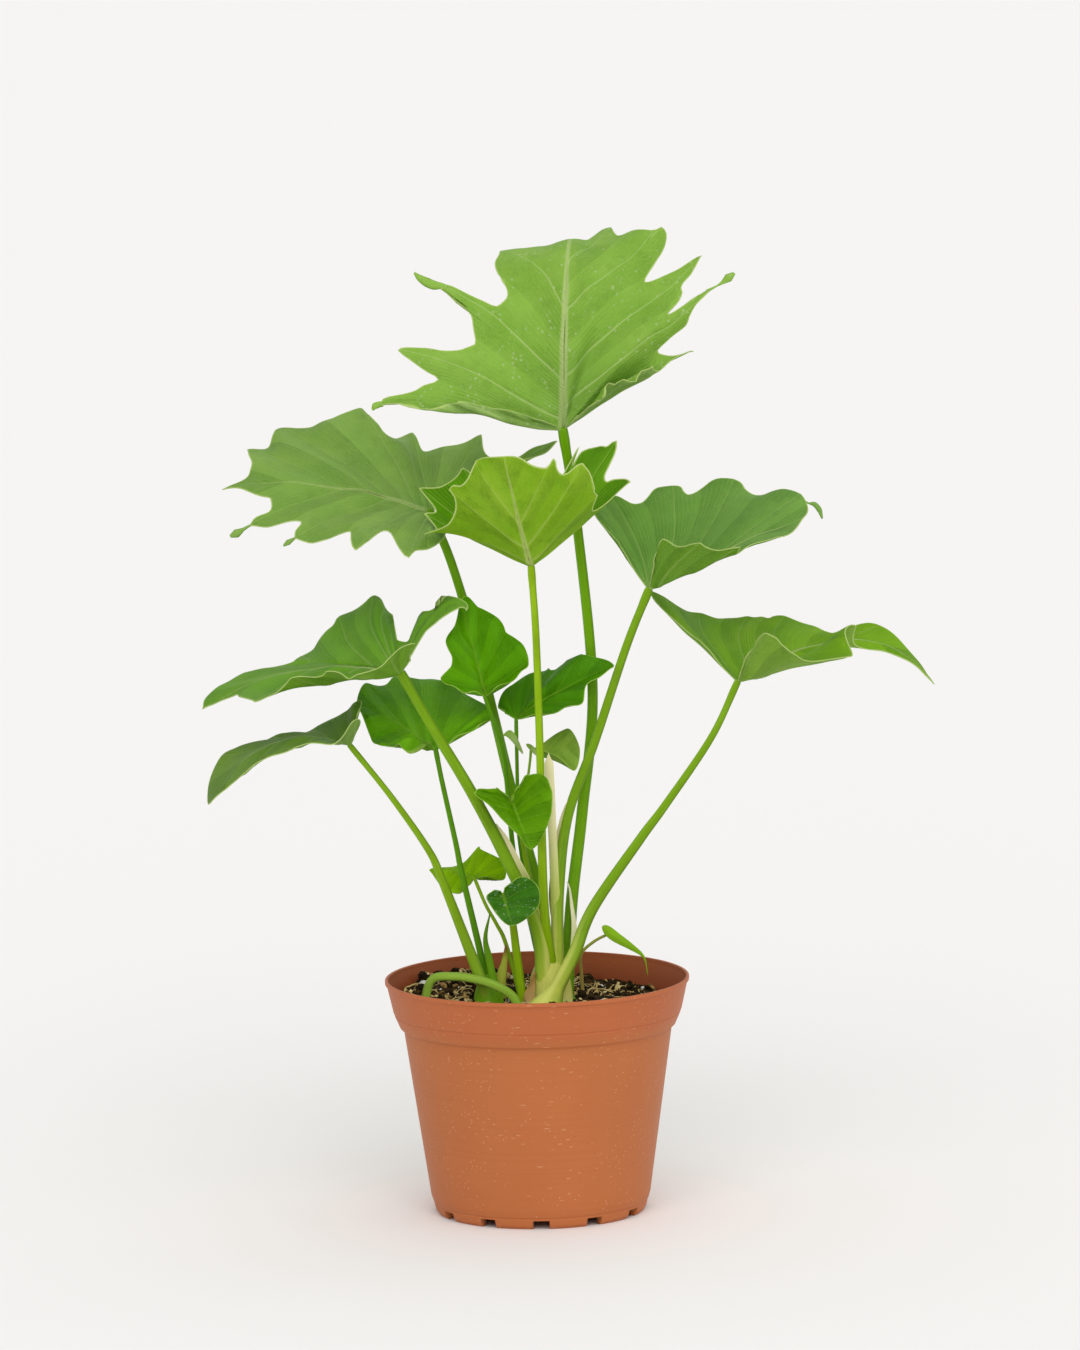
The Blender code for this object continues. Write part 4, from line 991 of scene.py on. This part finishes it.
def leaf_finish(name, plan):
    """Green, mottled, with pale veins that thin out to the margin, a paler underside and a pale rim."""
    look = {key: colour(*value) if key in COLOURS else value for key, value in plan.items()}
    term = blank(name)
    number, spacing, from_midrib = term.attribute("veins")
    r, from_edge, under = term.attribute("place")
    where = term.place()
    offset = number - number.round()
    from_vein = abs(offset) * spacing
    fine_number = number * FINE_VEINS
    from_fine = abs(fine_number - fine_number.round()) * spacing / FINE_VEINS
    broad = (1.04 - r) * (1.25 - r * 0.6) * look["midrib_width"]
    midrib = from_midrib.step(broad + 0.35, broad * 0.5) * (1.05 - r * 0.45)
    vein = from_vein.step((1.25 - r * look["thin"]) * look["vein_width"], 0.12) * (1.0 - r * look["fade"])
    fine = from_fine.step(0.45, 0.05) * (spacing / FINE_VEINS).step(0.5, 1.4)
    patches = where.noise(38.0, 4.0)
    mottle = where.noise(130.0)
    specks = where.noise(900.0, 2.0)
    side = under.step(0.4, 0.6)
    upper = patches.step(0.3, 0.7).mix(look["upper"], look["upper_2"])
    upper = r.step(0.35, 0.0).mix(upper, look["heart"])
    base = side.mix(upper, patches.step(0.3, 0.7).mix(look["under"], look["under_2"]))
    for share, shade in (
        (mottle.step(0.5, 0.68) * 0.35, darker(look["upper"])),
        # Painted light: shade on one side of each vein and a highlight on the other, standing in for light
        # on the swelling blade
        (offset.step(0.02, 0.3) * look["painted_vein_shading"], darker(look["upper"], 0.72)),
        (offset.step(-0.02, -0.3) * look["painted_vein_shading"], darker(look["upper_2"], 1.3)),
        (specks.step(0.42, 0.62) * 0.4, side.mix(look["upper_2"], look["under_2"])),
        (fine * look["fine_share"], look["vein"]),
        (vein * look["vein_share"], look["vein"]),
        (midrib * look["midrib_share"], look["midrib"]),
        (from_edge.step(look["rim"], look["rim"] * 0.35) * 0.95, look["margin"]),
    ):
        base = share.mix(base, shade)
    if look["specks"]:
        spots = where.cells(300.0).step(0.34, 0.06) * where.noise(90.0).step(0.46, 0.6)
        base = (spots * look["specks"]).mix(base, (0.68, 0.78, 0.46))
    height = specks * 0.3 + fine * 0.7 - vein * 0.5 + mottle * 1.2
    finish(term, base, {
        "Roughness": patches * 0.14 + (look["roughness"] - 0.05) + side * 0.14,
        "Specular IOR Level": look["shine"],
        "Normal": height.bump(0.45, 0.0007),
    }, look["glow"], look["share"])


# ---------------------------------------------------------------- stalks, crowns and sheaths


def stalk_finish(name, top, bottom, change, streak=0.3, pale_side=0):
    """A smooth stalk with fine lengthwise streaks, turning from one colour to another along it.

    Where pale_side is -1 (left) or 1 (right), that side of its lower half is cream. A painted highlight
    runs down its left side and painted shade down its right side; a sheet gets the painted shade on its
    lower side.
    """
    top, bottom = colour(*top), colour(*bottom)
    lighter, deeper = tuple(min(1.0, value * 1.6 + 0.02) for value in top), darker(top, 0.6)
    term = blank(name)
    streaks = term.node("ShaderNodeAttribute", {"attribute_name": "grain"}, None, 1).noise(0.9)
    share, turn, _ = term.attribute("place")
    base = share.step(*change).mix(top, bottom)
    base = (streaks.step(0.45, 0.75) * streak).mix(base, lighter)
    base = (term.place().noise(60.0).step(0.5, 0.75) * 0.35).mix(base, deeper)
    # Painted light: a highlight down the left side (turn near -1) and shade down the right side (turn near
    # 1)
    base = (turn.step(-0.2, -0.95) * 0.5).mix(base, lighter)
    base = (turn.step(0.3, 0.95) * 0.5).mix(base, deeper)
    if pale_side:
        paler = (turn * pale_side).step(-0.1, 0.7) * share.step(0.5, 0.85) * 0.75
        base = paler.mix(base, colour(230, 230, 124))
    finish(term, base, {
        "Roughness": streaks * 0.15 + 0.36,
        "Specular IOR Level": 0.12,
        "Normal": streaks.bump(0.25, 0.0004),
    }, colour(150, 190, 40), 0.08)


def stalk(name, route, radii, kind, knob=0.0, flare=0.0, knee=(0, 0)):
    """A round stalk along its route, thicker below, with a shallow groove and faint ridges.

    Radius at a share t of its length: top + (bottom - top) t^1.5, a swelling just below the top, one at
    the knee, and flared at the foot. Round it: 1 - 0.12 e^(-(a/0.4)^2) + 0.012 cos 14a.
    """
    route = np.asarray(route, float)
    length = np.linalg.norm(np.diff(route, axis=0), axis=1).sum()
    t = np.linspace(0, 1, max(12, int(length / STALK_STEP / (1))))
    points = spline(route, t * (len(route) - 1))
    radius = radii[0] + (radii[1] - radii[0]) * t**1.5
    radius *= 1 + knob * bell(t * length - 5, 6) + flare * smooth(t, 0.86, 1)
    radius *= 1 + knee[1] * bell((t - knee[0]) * length, 7)
    rounding = np.radians([80, 62, 45, 30, 15])
    ahead = unit(points[0] - points[1])
    points = np.vstack([points[0] + np.outer(np.sin(rounding) * 0.8, ahead) * radii[0], points])
    radius = np.concatenate([np.cos(rounding) * radius[0], radius])
    t = np.concatenate([0 * rounding, t])

    around = STALK_AROUND
    angle = turns(around)
    section = 1 - 0.12 * bell(angle - math.pi / 2, 0.4) + 0.012 * np.cos(14 * angle)
    made_points, faces = closed_tube(tube_rings(points, radius, section))
    travel = np.concatenate([[0], np.linalg.norm(np.diff(points, axis=0), axis=1).cumsum()])
    grain = turned(radius[:, None], angle, travel[:, None] * 0.05).reshape(-1, 3)
    grain = np.vstack([grain, grain[[0, -1]]])
    share = np.concatenate([np.repeat(t, around), [0, 1]])
    # cos of the angle round the stalk, from which the finish paints a highlight on the left and shade on
    # the right
    turn = np.concatenate([np.tile(np.cos(angle), len(t)), [0, 0]])
    place = np.stack([share, turn, 0 * share], axis=1)
    piece(name, made_points, faces, kind, {"grain": grain, "place": place})


def petiole(name):
    """A leaf's stalk. A thick one whose flare isn't given goes on past the end of its route."""
    plan = {**PLAIN, **LEAVES[name]}
    route, flare = np.array([plan["joint"], *plan["petiole"]], float), plan["flare"]
    if flare is None:
        flare = FLARE
        if plan["radii"][1] > 2:
            route = np.vstack([route, route[-1] + BURIED * unit(route[-1] - route[-2])])
    route[0] += plan["hidden_top"] * unit(route[1] - route[0])
    kind = (plan["stalk"], "petiole_green", (f"petiole_{name}",))
    knob = 0 if plan["hidden_top"] else KNOB
    stalk(f"stalk_{name}", route, plan["radii"], kind, knob, flare, plan["knee"])


def crown(name, finish_name, centre, radii, lump=0.04, foot=0.12, seed=21):
    """An ellipsoid with lumps of smooth noise, drawn out at the foot."""
    rings, around = CROWN_GRID
    tilt = np.linspace(0.02, math.pi - 0.02, rings)[:, None]
    turn = turns(around)
    noise = lattice_noise(14 * np.cos(turn) + 9 * tilt, 14 * np.sin(turn) + 5 * tilt, 6, seed)
    noise += 0.5 * np.cos(6 * turn + 2 * tilt)
    size = 1 + lump * noise * np.sin(tilt) + foot * smooth(tilt, 1.4, 2.2)
    points, faces = closed_tube(ball(tilt, turn, size)[::-1] * radii + centre)
    share = (points[:, 2] - points[:, 2].min()) / np.ptp(points[:, 2])
    attributes = {"grain": points * [0.25, 0.25, 0.02], "place": np.outer(1 - share, [1, 0, 0])}
    piece(f"{name}_lumps", points, faces, (finish_name, "pale_stem", (name,)), attributes)


def sheet(name, grid, thickness, along, grain, kind, sides=1):
    """A thin sheet from a grid, with the share of its length at each row, and its grain.

    The grain is (mm across each column, how much of that in x, y, z, how much of the point in x, y, z).
    sides is 0 where both sides of the sheet are alike; otherwise its finish paints shade on the lower side.
    """
    points, faces, source, side = shell(grid, thickness)
    across, by_column, by_point = grain
    across, share = (
        np.broadcast_to(values, grid.shape[:2]).reshape(-1, 1)[source] for values in (across, along)
    )
    place = np.column_stack([share, side * sides, 0 * share])
    piece(name, points, faces, kind, {"grain": across * by_column + points * by_point, "place": place})


def sheath(name, route, radius, facing, spread, blunt, thickness, kind):
    """A dry sheath: an arc of a tube round its route, narrowing to a point, with wavy free edges."""
    columns, rows = SHEATH_GRID
    along = np.linspace(0, 1, rows)
    across = np.linspace(-1, 1, columns)[:, None]
    centre = spline(route, along * (len(route) - 1))
    open_to = np.maximum(along, blunt * smooth(along, 0, 0.04))
    angle = math.radians(facing) + math.radians(spread) * across * (0.08 + 0.92 * open_to**0.7)
    out = radius * (0.35 + 0.65 * open_to**0.5) * (1 + 0.05 * across**2 * np.sin(14 * along))
    grain = (across * radius, [1, 0, 0], [0, 0, 0.05])
    sheet(name, centre + turned(out, angle, 0.0), thickness, along, grain, kind)


def wing(name, line, span, width, direction):
    """A thin pale flap along a stalk's lower part: it stands off sideways by width * sin(pi t)^0.6."""
    columns, rows = WING_GRID
    t = np.linspace(0, 1, rows)
    across = np.linspace(0, 1, columns)[:, None]
    centre = spline(line, span[0] + (span[1] - span[0]) * t)
    wide = width * np.sin(math.pi * np.clip(t, 0.01, 0.99)) ** 0.6 * (1 + 0.08 * np.sin(17 * t))
    stand = 0.64 * LEAVES[name]["radii"][1] + across * wide
    grid = centre + stand[..., None] * unit(np.array(direction))
    grid -= (across**2 * wide)[..., None] * [0, 0.35, 0]
    grain = (0.0, [0, 0, 0], [0.6, 0.6, 0.03])
    sheet(f"wing_{name}", grid, WING_THICKNESS, t, grain, ("sheath_pale", "dry_sheath", ()))


def leaflet(name, route, half_width, finish_name, replaced=(), early=1.0):
    """A narrow leaf along its route, lightly folded along its middle, pointed at both ends."""
    columns, rows = LEAFLET_GRID
    along = np.linspace(0.002, 0.998, rows)
    across = np.linspace(-1, 1, columns)[:, None] * half_width
    side = across * (0.06 + 0.94 * np.sin(math.pi * along**early) ** (0.7 / early))
    centre = spline(route, along * (len(route) - 1))
    grid = centre + np.stack([0.45 * side, 0.35 * side + 0.3 * np.abs(side), 0.75 * side], axis=-1)
    grain = (across, [1, 1, 0], [0, 0, 0])
    sheet(name, grid, LEAFLET_THICKNESS, along, grain, (finish_name, "leaf_mid", replaced), sides=0)


# ---------------------------------------------------------------- pot and soil


def rounded(points, radius, steps=5):
    """A line through points with each inner corner rounded by a quadratic Bezier arc."""
    points = np.asarray(points, float)
    made = [points[:1]]
    t = np.linspace(0, 1, steps)[:, None]
    for before, corner, after in zip(points, points[1:], points[2:]):
        back, ahead = before - corner, after - corner
        cut = min(radius, 0.45 * np.linalg.norm(back), 0.45 * np.linalg.norm(ahead))
        start, end = corner + unit(back) * cut, corner + unit(ahead) * cut
        made.append((1 - t) ** 2 * start + 2 * t * (1 - t) * corner + t * t * end)
    return np.vstack(made + [points[-1:]])


def filled_in(points, longest):
    """The same line, with points added so that no stretch is longer than longest."""
    made = [points[:1]]
    for a, b in zip(points, points[1:]):
        count = max(1, math.ceil(np.linalg.norm(b - a) / longest))
        made.append(a + (b - a) * (np.arange(1, count + 1) / count)[:, None])
    return np.vstack(made)


def pot_profile():
    """Inside from the middle of the floor up to the lip, then the outside down to the foot and the base."""
    band = POT_HEIGHT - BAND_HEIGHT
    lip = POT_HEIGHT - LIP_HEIGHT
    floor = FOOT_HEIGHT + 2.0
    top, base, foot = POT_TOP_RADIUS, POT_BASE_RADIUS, FOOT_HEIGHT
    return [
        (0.01, floor), (base, floor), (base + 2.3, 11.6), (top - 11.4, band - 9.0), (top - 9.4, band - 7.0),
        (top - 6.0, band + 0.5), (top - 0.6 - WALL, lip), (top - 0.4 - WALL, POT_HEIGHT),
        (top, POT_HEIGHT), (top, lip), (top - 0.9, lip - 0.3), (top - 4.45, band + 0.7),
        (top - 5.2, band + 0.1), (top - 5.0, band - 0.7), (top - 7.9, band - 7.5), (top - 9.9, band - 8.0),
        (base + 4.3, 10.6), (base + 3.2, foot + 1.2), (base + 2.5, foot + 0.6), (base + 2.6, foot - 0.3),
        (base + 1.8, 2.0), (base, 0), (base - 2.6, 0), (base - 3.0, foot), (PAD_RADIUS + 0.4, foot),
        (PAD_RADIUS, 0), (0.01, 0),
    ]


def make_pot():
    """The turned profile, with the foot ring cut up to the notches' height at each drain notch."""
    profile = filled_in(rounded(pot_profile(), CORNER_RADIUS), 5.0)
    pitch = 360 / DRAIN_COUNT
    half = math.degrees(DRAIN_WIDTH / 2 / POT_BASE_RADIUS)
    edges = [-half - 0.08, -half + 0.08, half - 0.08, half + 0.08]
    one = np.sort(np.concatenate([np.linspace(-pitch / 2, pitch / 2, 19)[:-1], edges]))
    angle = np.radians((one + pitch * np.arange(DRAIN_COUNT)[:, None]).reshape(-1, 1))
    in_notch = np.abs(np.tile(one, DRAIN_COUNT))[:, None] < half
    radius, height = profile.T
    notch_top = FOOT_HEIGHT - 0.6
    lift = np.where((radius > 20) & (height < notch_top), notch_top - height, 0)
    points, faces = lathed(turned(radius, angle, height + in_notch * lift))
    # Which points are on the inside: the finish paints shade there
    inside = np.arange(len(profile)) <= np.argmax(height)
    inside = np.concatenate([np.repeat(inside, len(angle)), [1, 0]])
    kind = ("terracotta_plastic_fine", "terracotta_plastic", ("pot",))
    piece("pot_shell", points, faces, kind, {"place": np.outer(inside, [1, 0, 0])})


def pot_finish(name):
    """Terracotta plastic: faint turned streaks, dust specks, short scratches, painted shade inside."""
    term = blank(name)
    where = term.place()
    z = where.parts()[2]
    inside = term.attribute("place")[0]
    rings = term.place((6.0, 6.0, 900.0)).noise(1.0, 2.0)
    cloud = where.noise(22.0, 4.0)
    fine = where.noise(1400.0, 2.0)
    body = z.step((POT_HEIGHT - BAND_HEIGHT - 8) * MM, (POT_HEIGHT - BAND_HEIGHT) * MM)
    dust = where.cells(340.0).step(0.19, 0.05) * where.noise(60.0).step(0.48, 0.6)
    dirt = where.cells(190.0).step(0.1, 0.03) * where.noise(19.0).step(0.55, 0.66)
    slanted = {"Vector": where, "Rotation": (0.1, 0.25, 0.2), "Scale": (80.0, 380.0, 380.0)}
    lines = term.node("ShaderNodeMapping", None, slanted).cells(1.0)
    scratch = lines.step(0.2, 0.06) * where.noise(26.0).step(0.38, 0.5)
    inner_shade_depth = z.step(POT_HEIGHT * MM, (SOIL_LEVEL - 4) * MM)
    base = body.mix(colour(181, 105, 58), colour(180, 99, 57))
    for share, shade in (
        (cloud.step(0.3, 0.75) * 0.3, (192, 114, 66)),
        (rings.step(0.5, 0.8) * 0.22, (166, 92, 50)),
        (dust * 0.5, (222, 172, 128)),
        (dirt * 0.6, (110, 62, 40)),
        (scratch * 0.4, (220, 168, 124)),
        # Painted shade on the inner wall: half strength at the lip, full just above the soil
        (inside * (inner_shade_depth * 0.5 + 0.5), (142, 68, 34)),
    ):
        base = share.mix(base, colour(*shade))
    height = rings * 0.5 + fine * 0.25 - scratch * 0.6 - dirt * 0.3
    finish(term, base, {
        "Roughness": cloud * 0.12 + fine * 0.06 + 0.42 + dust * 0.2,
        "Specular IOR Level": 0.22,
        "Normal": height.bump(0.18, 0.0004),
    })


def soil_height(x, y):
    """The soil's surface: a gentle slope, a heap and three sizes of smooth noise."""
    noise = 1.9 * lattice_noise(x, y, 16, 11) + 1.1 * lattice_noise(x, y, 6, 12)
    heap = HEAP_HEIGHT * bell(x - HEAP_X, HEAP_WIDTH) * smooth(y, -5, 40)
    return SOIL_LEVEL + SOIL_SLOPE * x - 1.2 + noise + heap + 0.6 * lattice_noise(x, y, 2.4, 13)


def make_soil():
    """A turned block of soil with a rough top: rings out to the pot's wall, then down and in below."""
    rings, around = SOIL_GRID
    angle = turns(around)[:, None]
    top = turned(np.linspace(0.004, 1, rings) ** 0.8 * (SOIL_RADIUS - 0.5), angle, 0)
    top[..., 2] = soil_height(top[..., 0], top[..., 1])
    side_radius = np.array([SOIL_RADIUS - 3.5, SOIL_RADIUS - 8, SOIL_RADIUS - 11, 0.3])
    side = turned(side_radius, angle, SOIL_LEVEL - np.array([7.0, 11.5, 15.0, 15.0]))
    piece("soil_surface", *lathed(np.concatenate([top, side], axis=1)), ("peat_dark", "peat", ("soil",)))


def on_soil(count, seed):
    """Random points on the soil, evenly spread by area."""
    random = np.random.default_rng(seed)
    radius = np.sqrt(random.uniform(0, 1, count)) * (SOIL_RADIUS - 3)
    spots = turned(radius, random.uniform(0, 2 * math.pi, count), 0)
    spots[:, 2] = soil_height(spots[:, 0], spots[:, 1])
    return spots


def scatter_bits(name, shape, finish_name, count, low, high, flat, rise, seed):
    """Many copies of a small lump on the soil, sizes low..high mm (most of them small)."""
    random = np.random.default_rng(seed)
    size = low + (high - low) * random.uniform(0, 1, count) ** 2.5
    sizes = size[:, None] * [1.0, 1.0, flat] * random.uniform(0.7, 1.2, (count, 3))
    centres = on_soil(count, seed + 1)
    centres[:, 2] += rise * size
    piece(name, *scattered(*shape, centres, sizes, seed + 2), (finish_name, "peat", ()))


def make_fibres():
    """Bent threads that lie on the soil: each a thin tube along an arc."""
    random = np.random.default_rng(40)
    start = on_soil(FIBRE_COUNT, 41)
    heading = random.uniform(0, 2 * math.pi, (FIBRE_COUNT, 1))
    bend = random.uniform(-1.6, 1.6, (FIBRE_COUNT, 1))
    length = random.uniform(5, 22, (FIBRE_COUNT, 1))
    t = np.linspace(-0.5, 0.5, 7)
    x, y, _ = np.moveaxis(start[:, None] + turned(length * t, heading + bend * t, 0), -1, 0)
    inside = np.minimum(1, (SOIL_RADIUS - 2.5) / (np.hypot(x, y) + 1e-6))
    x, y = x * inside, y * inside
    z = soil_height(x, y) + 0.5 + random.uniform(0, 2.4, (FIBRE_COUNT, 1)) * (1 - (2 * t) ** 2)
    radius = random.uniform(0.16, 0.42, (FIBRE_COUNT, 1))
    rings = tube_rings(np.stack([x, y, z], axis=-1), radius, np.ones(5), (0.1, 0.2, 1.0))
    ends = rings[:, [0, -1]].mean(axis=2)
    points = np.concatenate([rings.reshape(FIBRE_COUNT, -1, 3), ends], axis=1)
    piece("soil_fibres", *repeated(points, closed_tube(rings[0])[1]), ("fibre_tan", "peat", ()))


def soil_finish(name, dark, light, roughness):
    """Grains of a dark and a light colour, with a rough surface."""
    dark, light = colour(*dark), colour(*light)
    term = blank(name)
    patches = term.place().noise(240.0, 5.0, 0.7)
    fine = term.place().noise(1100.0)
    base = (fine.step(0.5, 0.8) * 0.4).mix(patches.step(0.38, 0.7).mix(dark, light), light)
    height = patches + fine * 0.5
    finish(term, base, {
        "Roughness": roughness, "Specular IOR Level": 0.1, "Normal": height.bump(0.7, 0.0012),
    })


# ---------------------------------------------------------------- the plant


def droplets():
    """Water drops on the lowest heart-shaped leaf: small balls that sit on its surface."""
    plan = LEAVES["low_heart"]
    tips, controls, up = vein_arcs(plan)
    random = np.random.default_rng(7)
    u = random.uniform(0.6, 7.4, DROP_COUNT)
    r = random.uniform(0.2, 0.95, DROP_COUNT) ** 0.6
    centres = plan["joint"] + fan(tips, controls, u, r) + 0.45 * up
    sizes = 0.12 + 0.26 * random.uniform(0, 1, (DROP_COUNT, 1)) ** 2 * np.ones(3)
    drop = pebble(12, 8, 0.0, 1)
    piece("water_drops", *scattered(*drop, centres, sizes, 8), ("water", "leaf_dark", ()))


def make_finishes():
    for name, values in STALK_FINISHES.items():
        stalk_finish(name, *values)
    for name, values in SOIL_FINISHES.items():
        soil_finish(name, *values)
    pot_finish("terracotta_plastic_fine")
    finish(blank("water"), (*colour(116, 166, 122), 1), {"Roughness": 0.08})
    floor = {"Roughness": 0.9, "Specular IOR Level": 0.1}
    finish(blank("floor_pale"), (0.93, 0.922, 0.912, 1), floor)


def make_plant():
    for name in LEAVES:
        leaf(name)
    for name in LEAVES:
        petiole(name)
    for name, shape in CROWNS.items():
        crown(name, *shape)
    for name, (finish_name, slot, *shape) in SHEATHS.items():
        sheath(f"{name}_skin", *shape, SHEATH_THICKNESS, (finish_name, slot, (name,)))
    papery = ("sheath_brown", "dry_sheath", ())
    sheath("papery_scale", PAPERY_SCALE, 13.5, -125, 24, 0, PAPERY_THICKNESS, papery)
    for name, flap in WINGS.items():
        wing(name, *flap)
    stalk("fallen_stem_round", FALLEN_STEM, (2.4, 2.6), ("fallen_green", "pale_stem", ("fallen_stem",)))
    thread = ("seedling_brown", "petiole_green", ("seedling_stalk",))
    stalk("seedling_thread", SEEDLING_STALK, (0.8, 1.1), thread)
    leaflet("seedling_narrow_leaf", SEEDLING_LEAF, 3.1, "seedling_green", ("seedling_leaf",), 0.42)
    for name, (route, half_width) in CURLED_LEAFLETS.items():
        leaflet(name, route, half_width, "leaflet_dull")
    droplets()


def make_ground():
    make_pot()
    make_soil()
    clod = pebble(7, 4, 0.3, 30)
    for name, bits in SOIL_BITS.items():
        scatter_bits(name, clod, *bits)
    chunk, faces = pebble(10, 7, 0.16, 77)
    spot = (*PERLITE_CHUNK, soil_height(*np.array(PERLITE_CHUNK)) + 1.6)
    piece("perlite_chunk", chunk * CHUNK_RADIUS + spot, faces, ("perlite_white", "peat", ()))
    make_fibres()


# ---------------------------------------------------------------- floor, light and camera


def make_stage():
    """A pale floor, a pale room, and three soft suns: direction, strength and angle (degrees) of each."""
    scene = bpy.context.scene
    scene.view_settings.view_transform = "Standard"
    mesh = bpy.data.meshes.new("floor")
    half = FLOOR_HALF_WIDTH
    corners = [(-half, -half, 0), (half, -half, 0), (half, half, 0), (-half, half, 0)]
    mesh.from_pydata(corners, [], [(0, 1, 2, 3)])
    mesh.materials.append(bpy.data.materials["floor_pale"])
    floor = bpy.data.objects.new("floor", mesh)
    scene.collection.objects.link(floor)

    scene.world = bpy.data.worlds.new("pale_room")
    scene.world.use_nodes = True
    background = scene.world.node_tree.nodes["Background"].inputs
    background["Color"].default_value = (1.0, 0.99, 0.98, 1)
    background["Strength"].default_value = 0.65

    for name, direction, strength, soft in (
        ("key", (0.05, 0.8, -0.65), 1.15, 50),
        ("fill", (-0.7, 0.7, -0.3), 0.5, 80),
        ("back", (-0.3, -0.75, -0.8), 0.3, 70),
    ):
        light = bpy.data.lights.new(name, "SUN")
        light.energy = strength
        light.angle = math.radians(soft)
        sun = bpy.data.objects.new(name, light)
        sun.rotation_mode = "QUATERNION"
        sun.rotation_quaternion = mathutils.Vector(direction).to_track_quat("-Z", "Y")
        scene.collection.objects.link(sun)


def make_camera():
    """The camera stands 5 m away and looks slightly down, turned by a degree about its own axis."""
    data = bpy.data.cameras.new("camera")
    data.sensor_width = CAMERA_SENSOR
    data.lens = CAMERA_LENS
    data.clip_end = CAMERA_REACH
    camera = bpy.data.objects.new("camera", data)
    place = mathutils.Vector(CAMERA_PLACE) * MM
    ahead = (mathutils.Vector(CAMERA_AIM) * MM - place).normalized()
    right = mathutils.Vector((1, 0, 0))
    up = right.cross(ahead)
    roll = math.radians(CAMERA_ROLL)
    turned_right = right * math.cos(roll) + up * math.sin(roll)
    turned_up = up * math.cos(roll) - right * math.sin(roll)
    rows = [(*row, at) for row, at in zip(zip(turned_right, turned_up, -ahead), place)]
    camera.matrix_world = mathutils.Matrix([*rows, (0, 0, 0, 1)])
    bpy.context.scene.collection.objects.link(camera)
    bpy.context.scene.camera = camera


make_finishes()
make_plant()
make_ground()
make_stage()
make_camera()
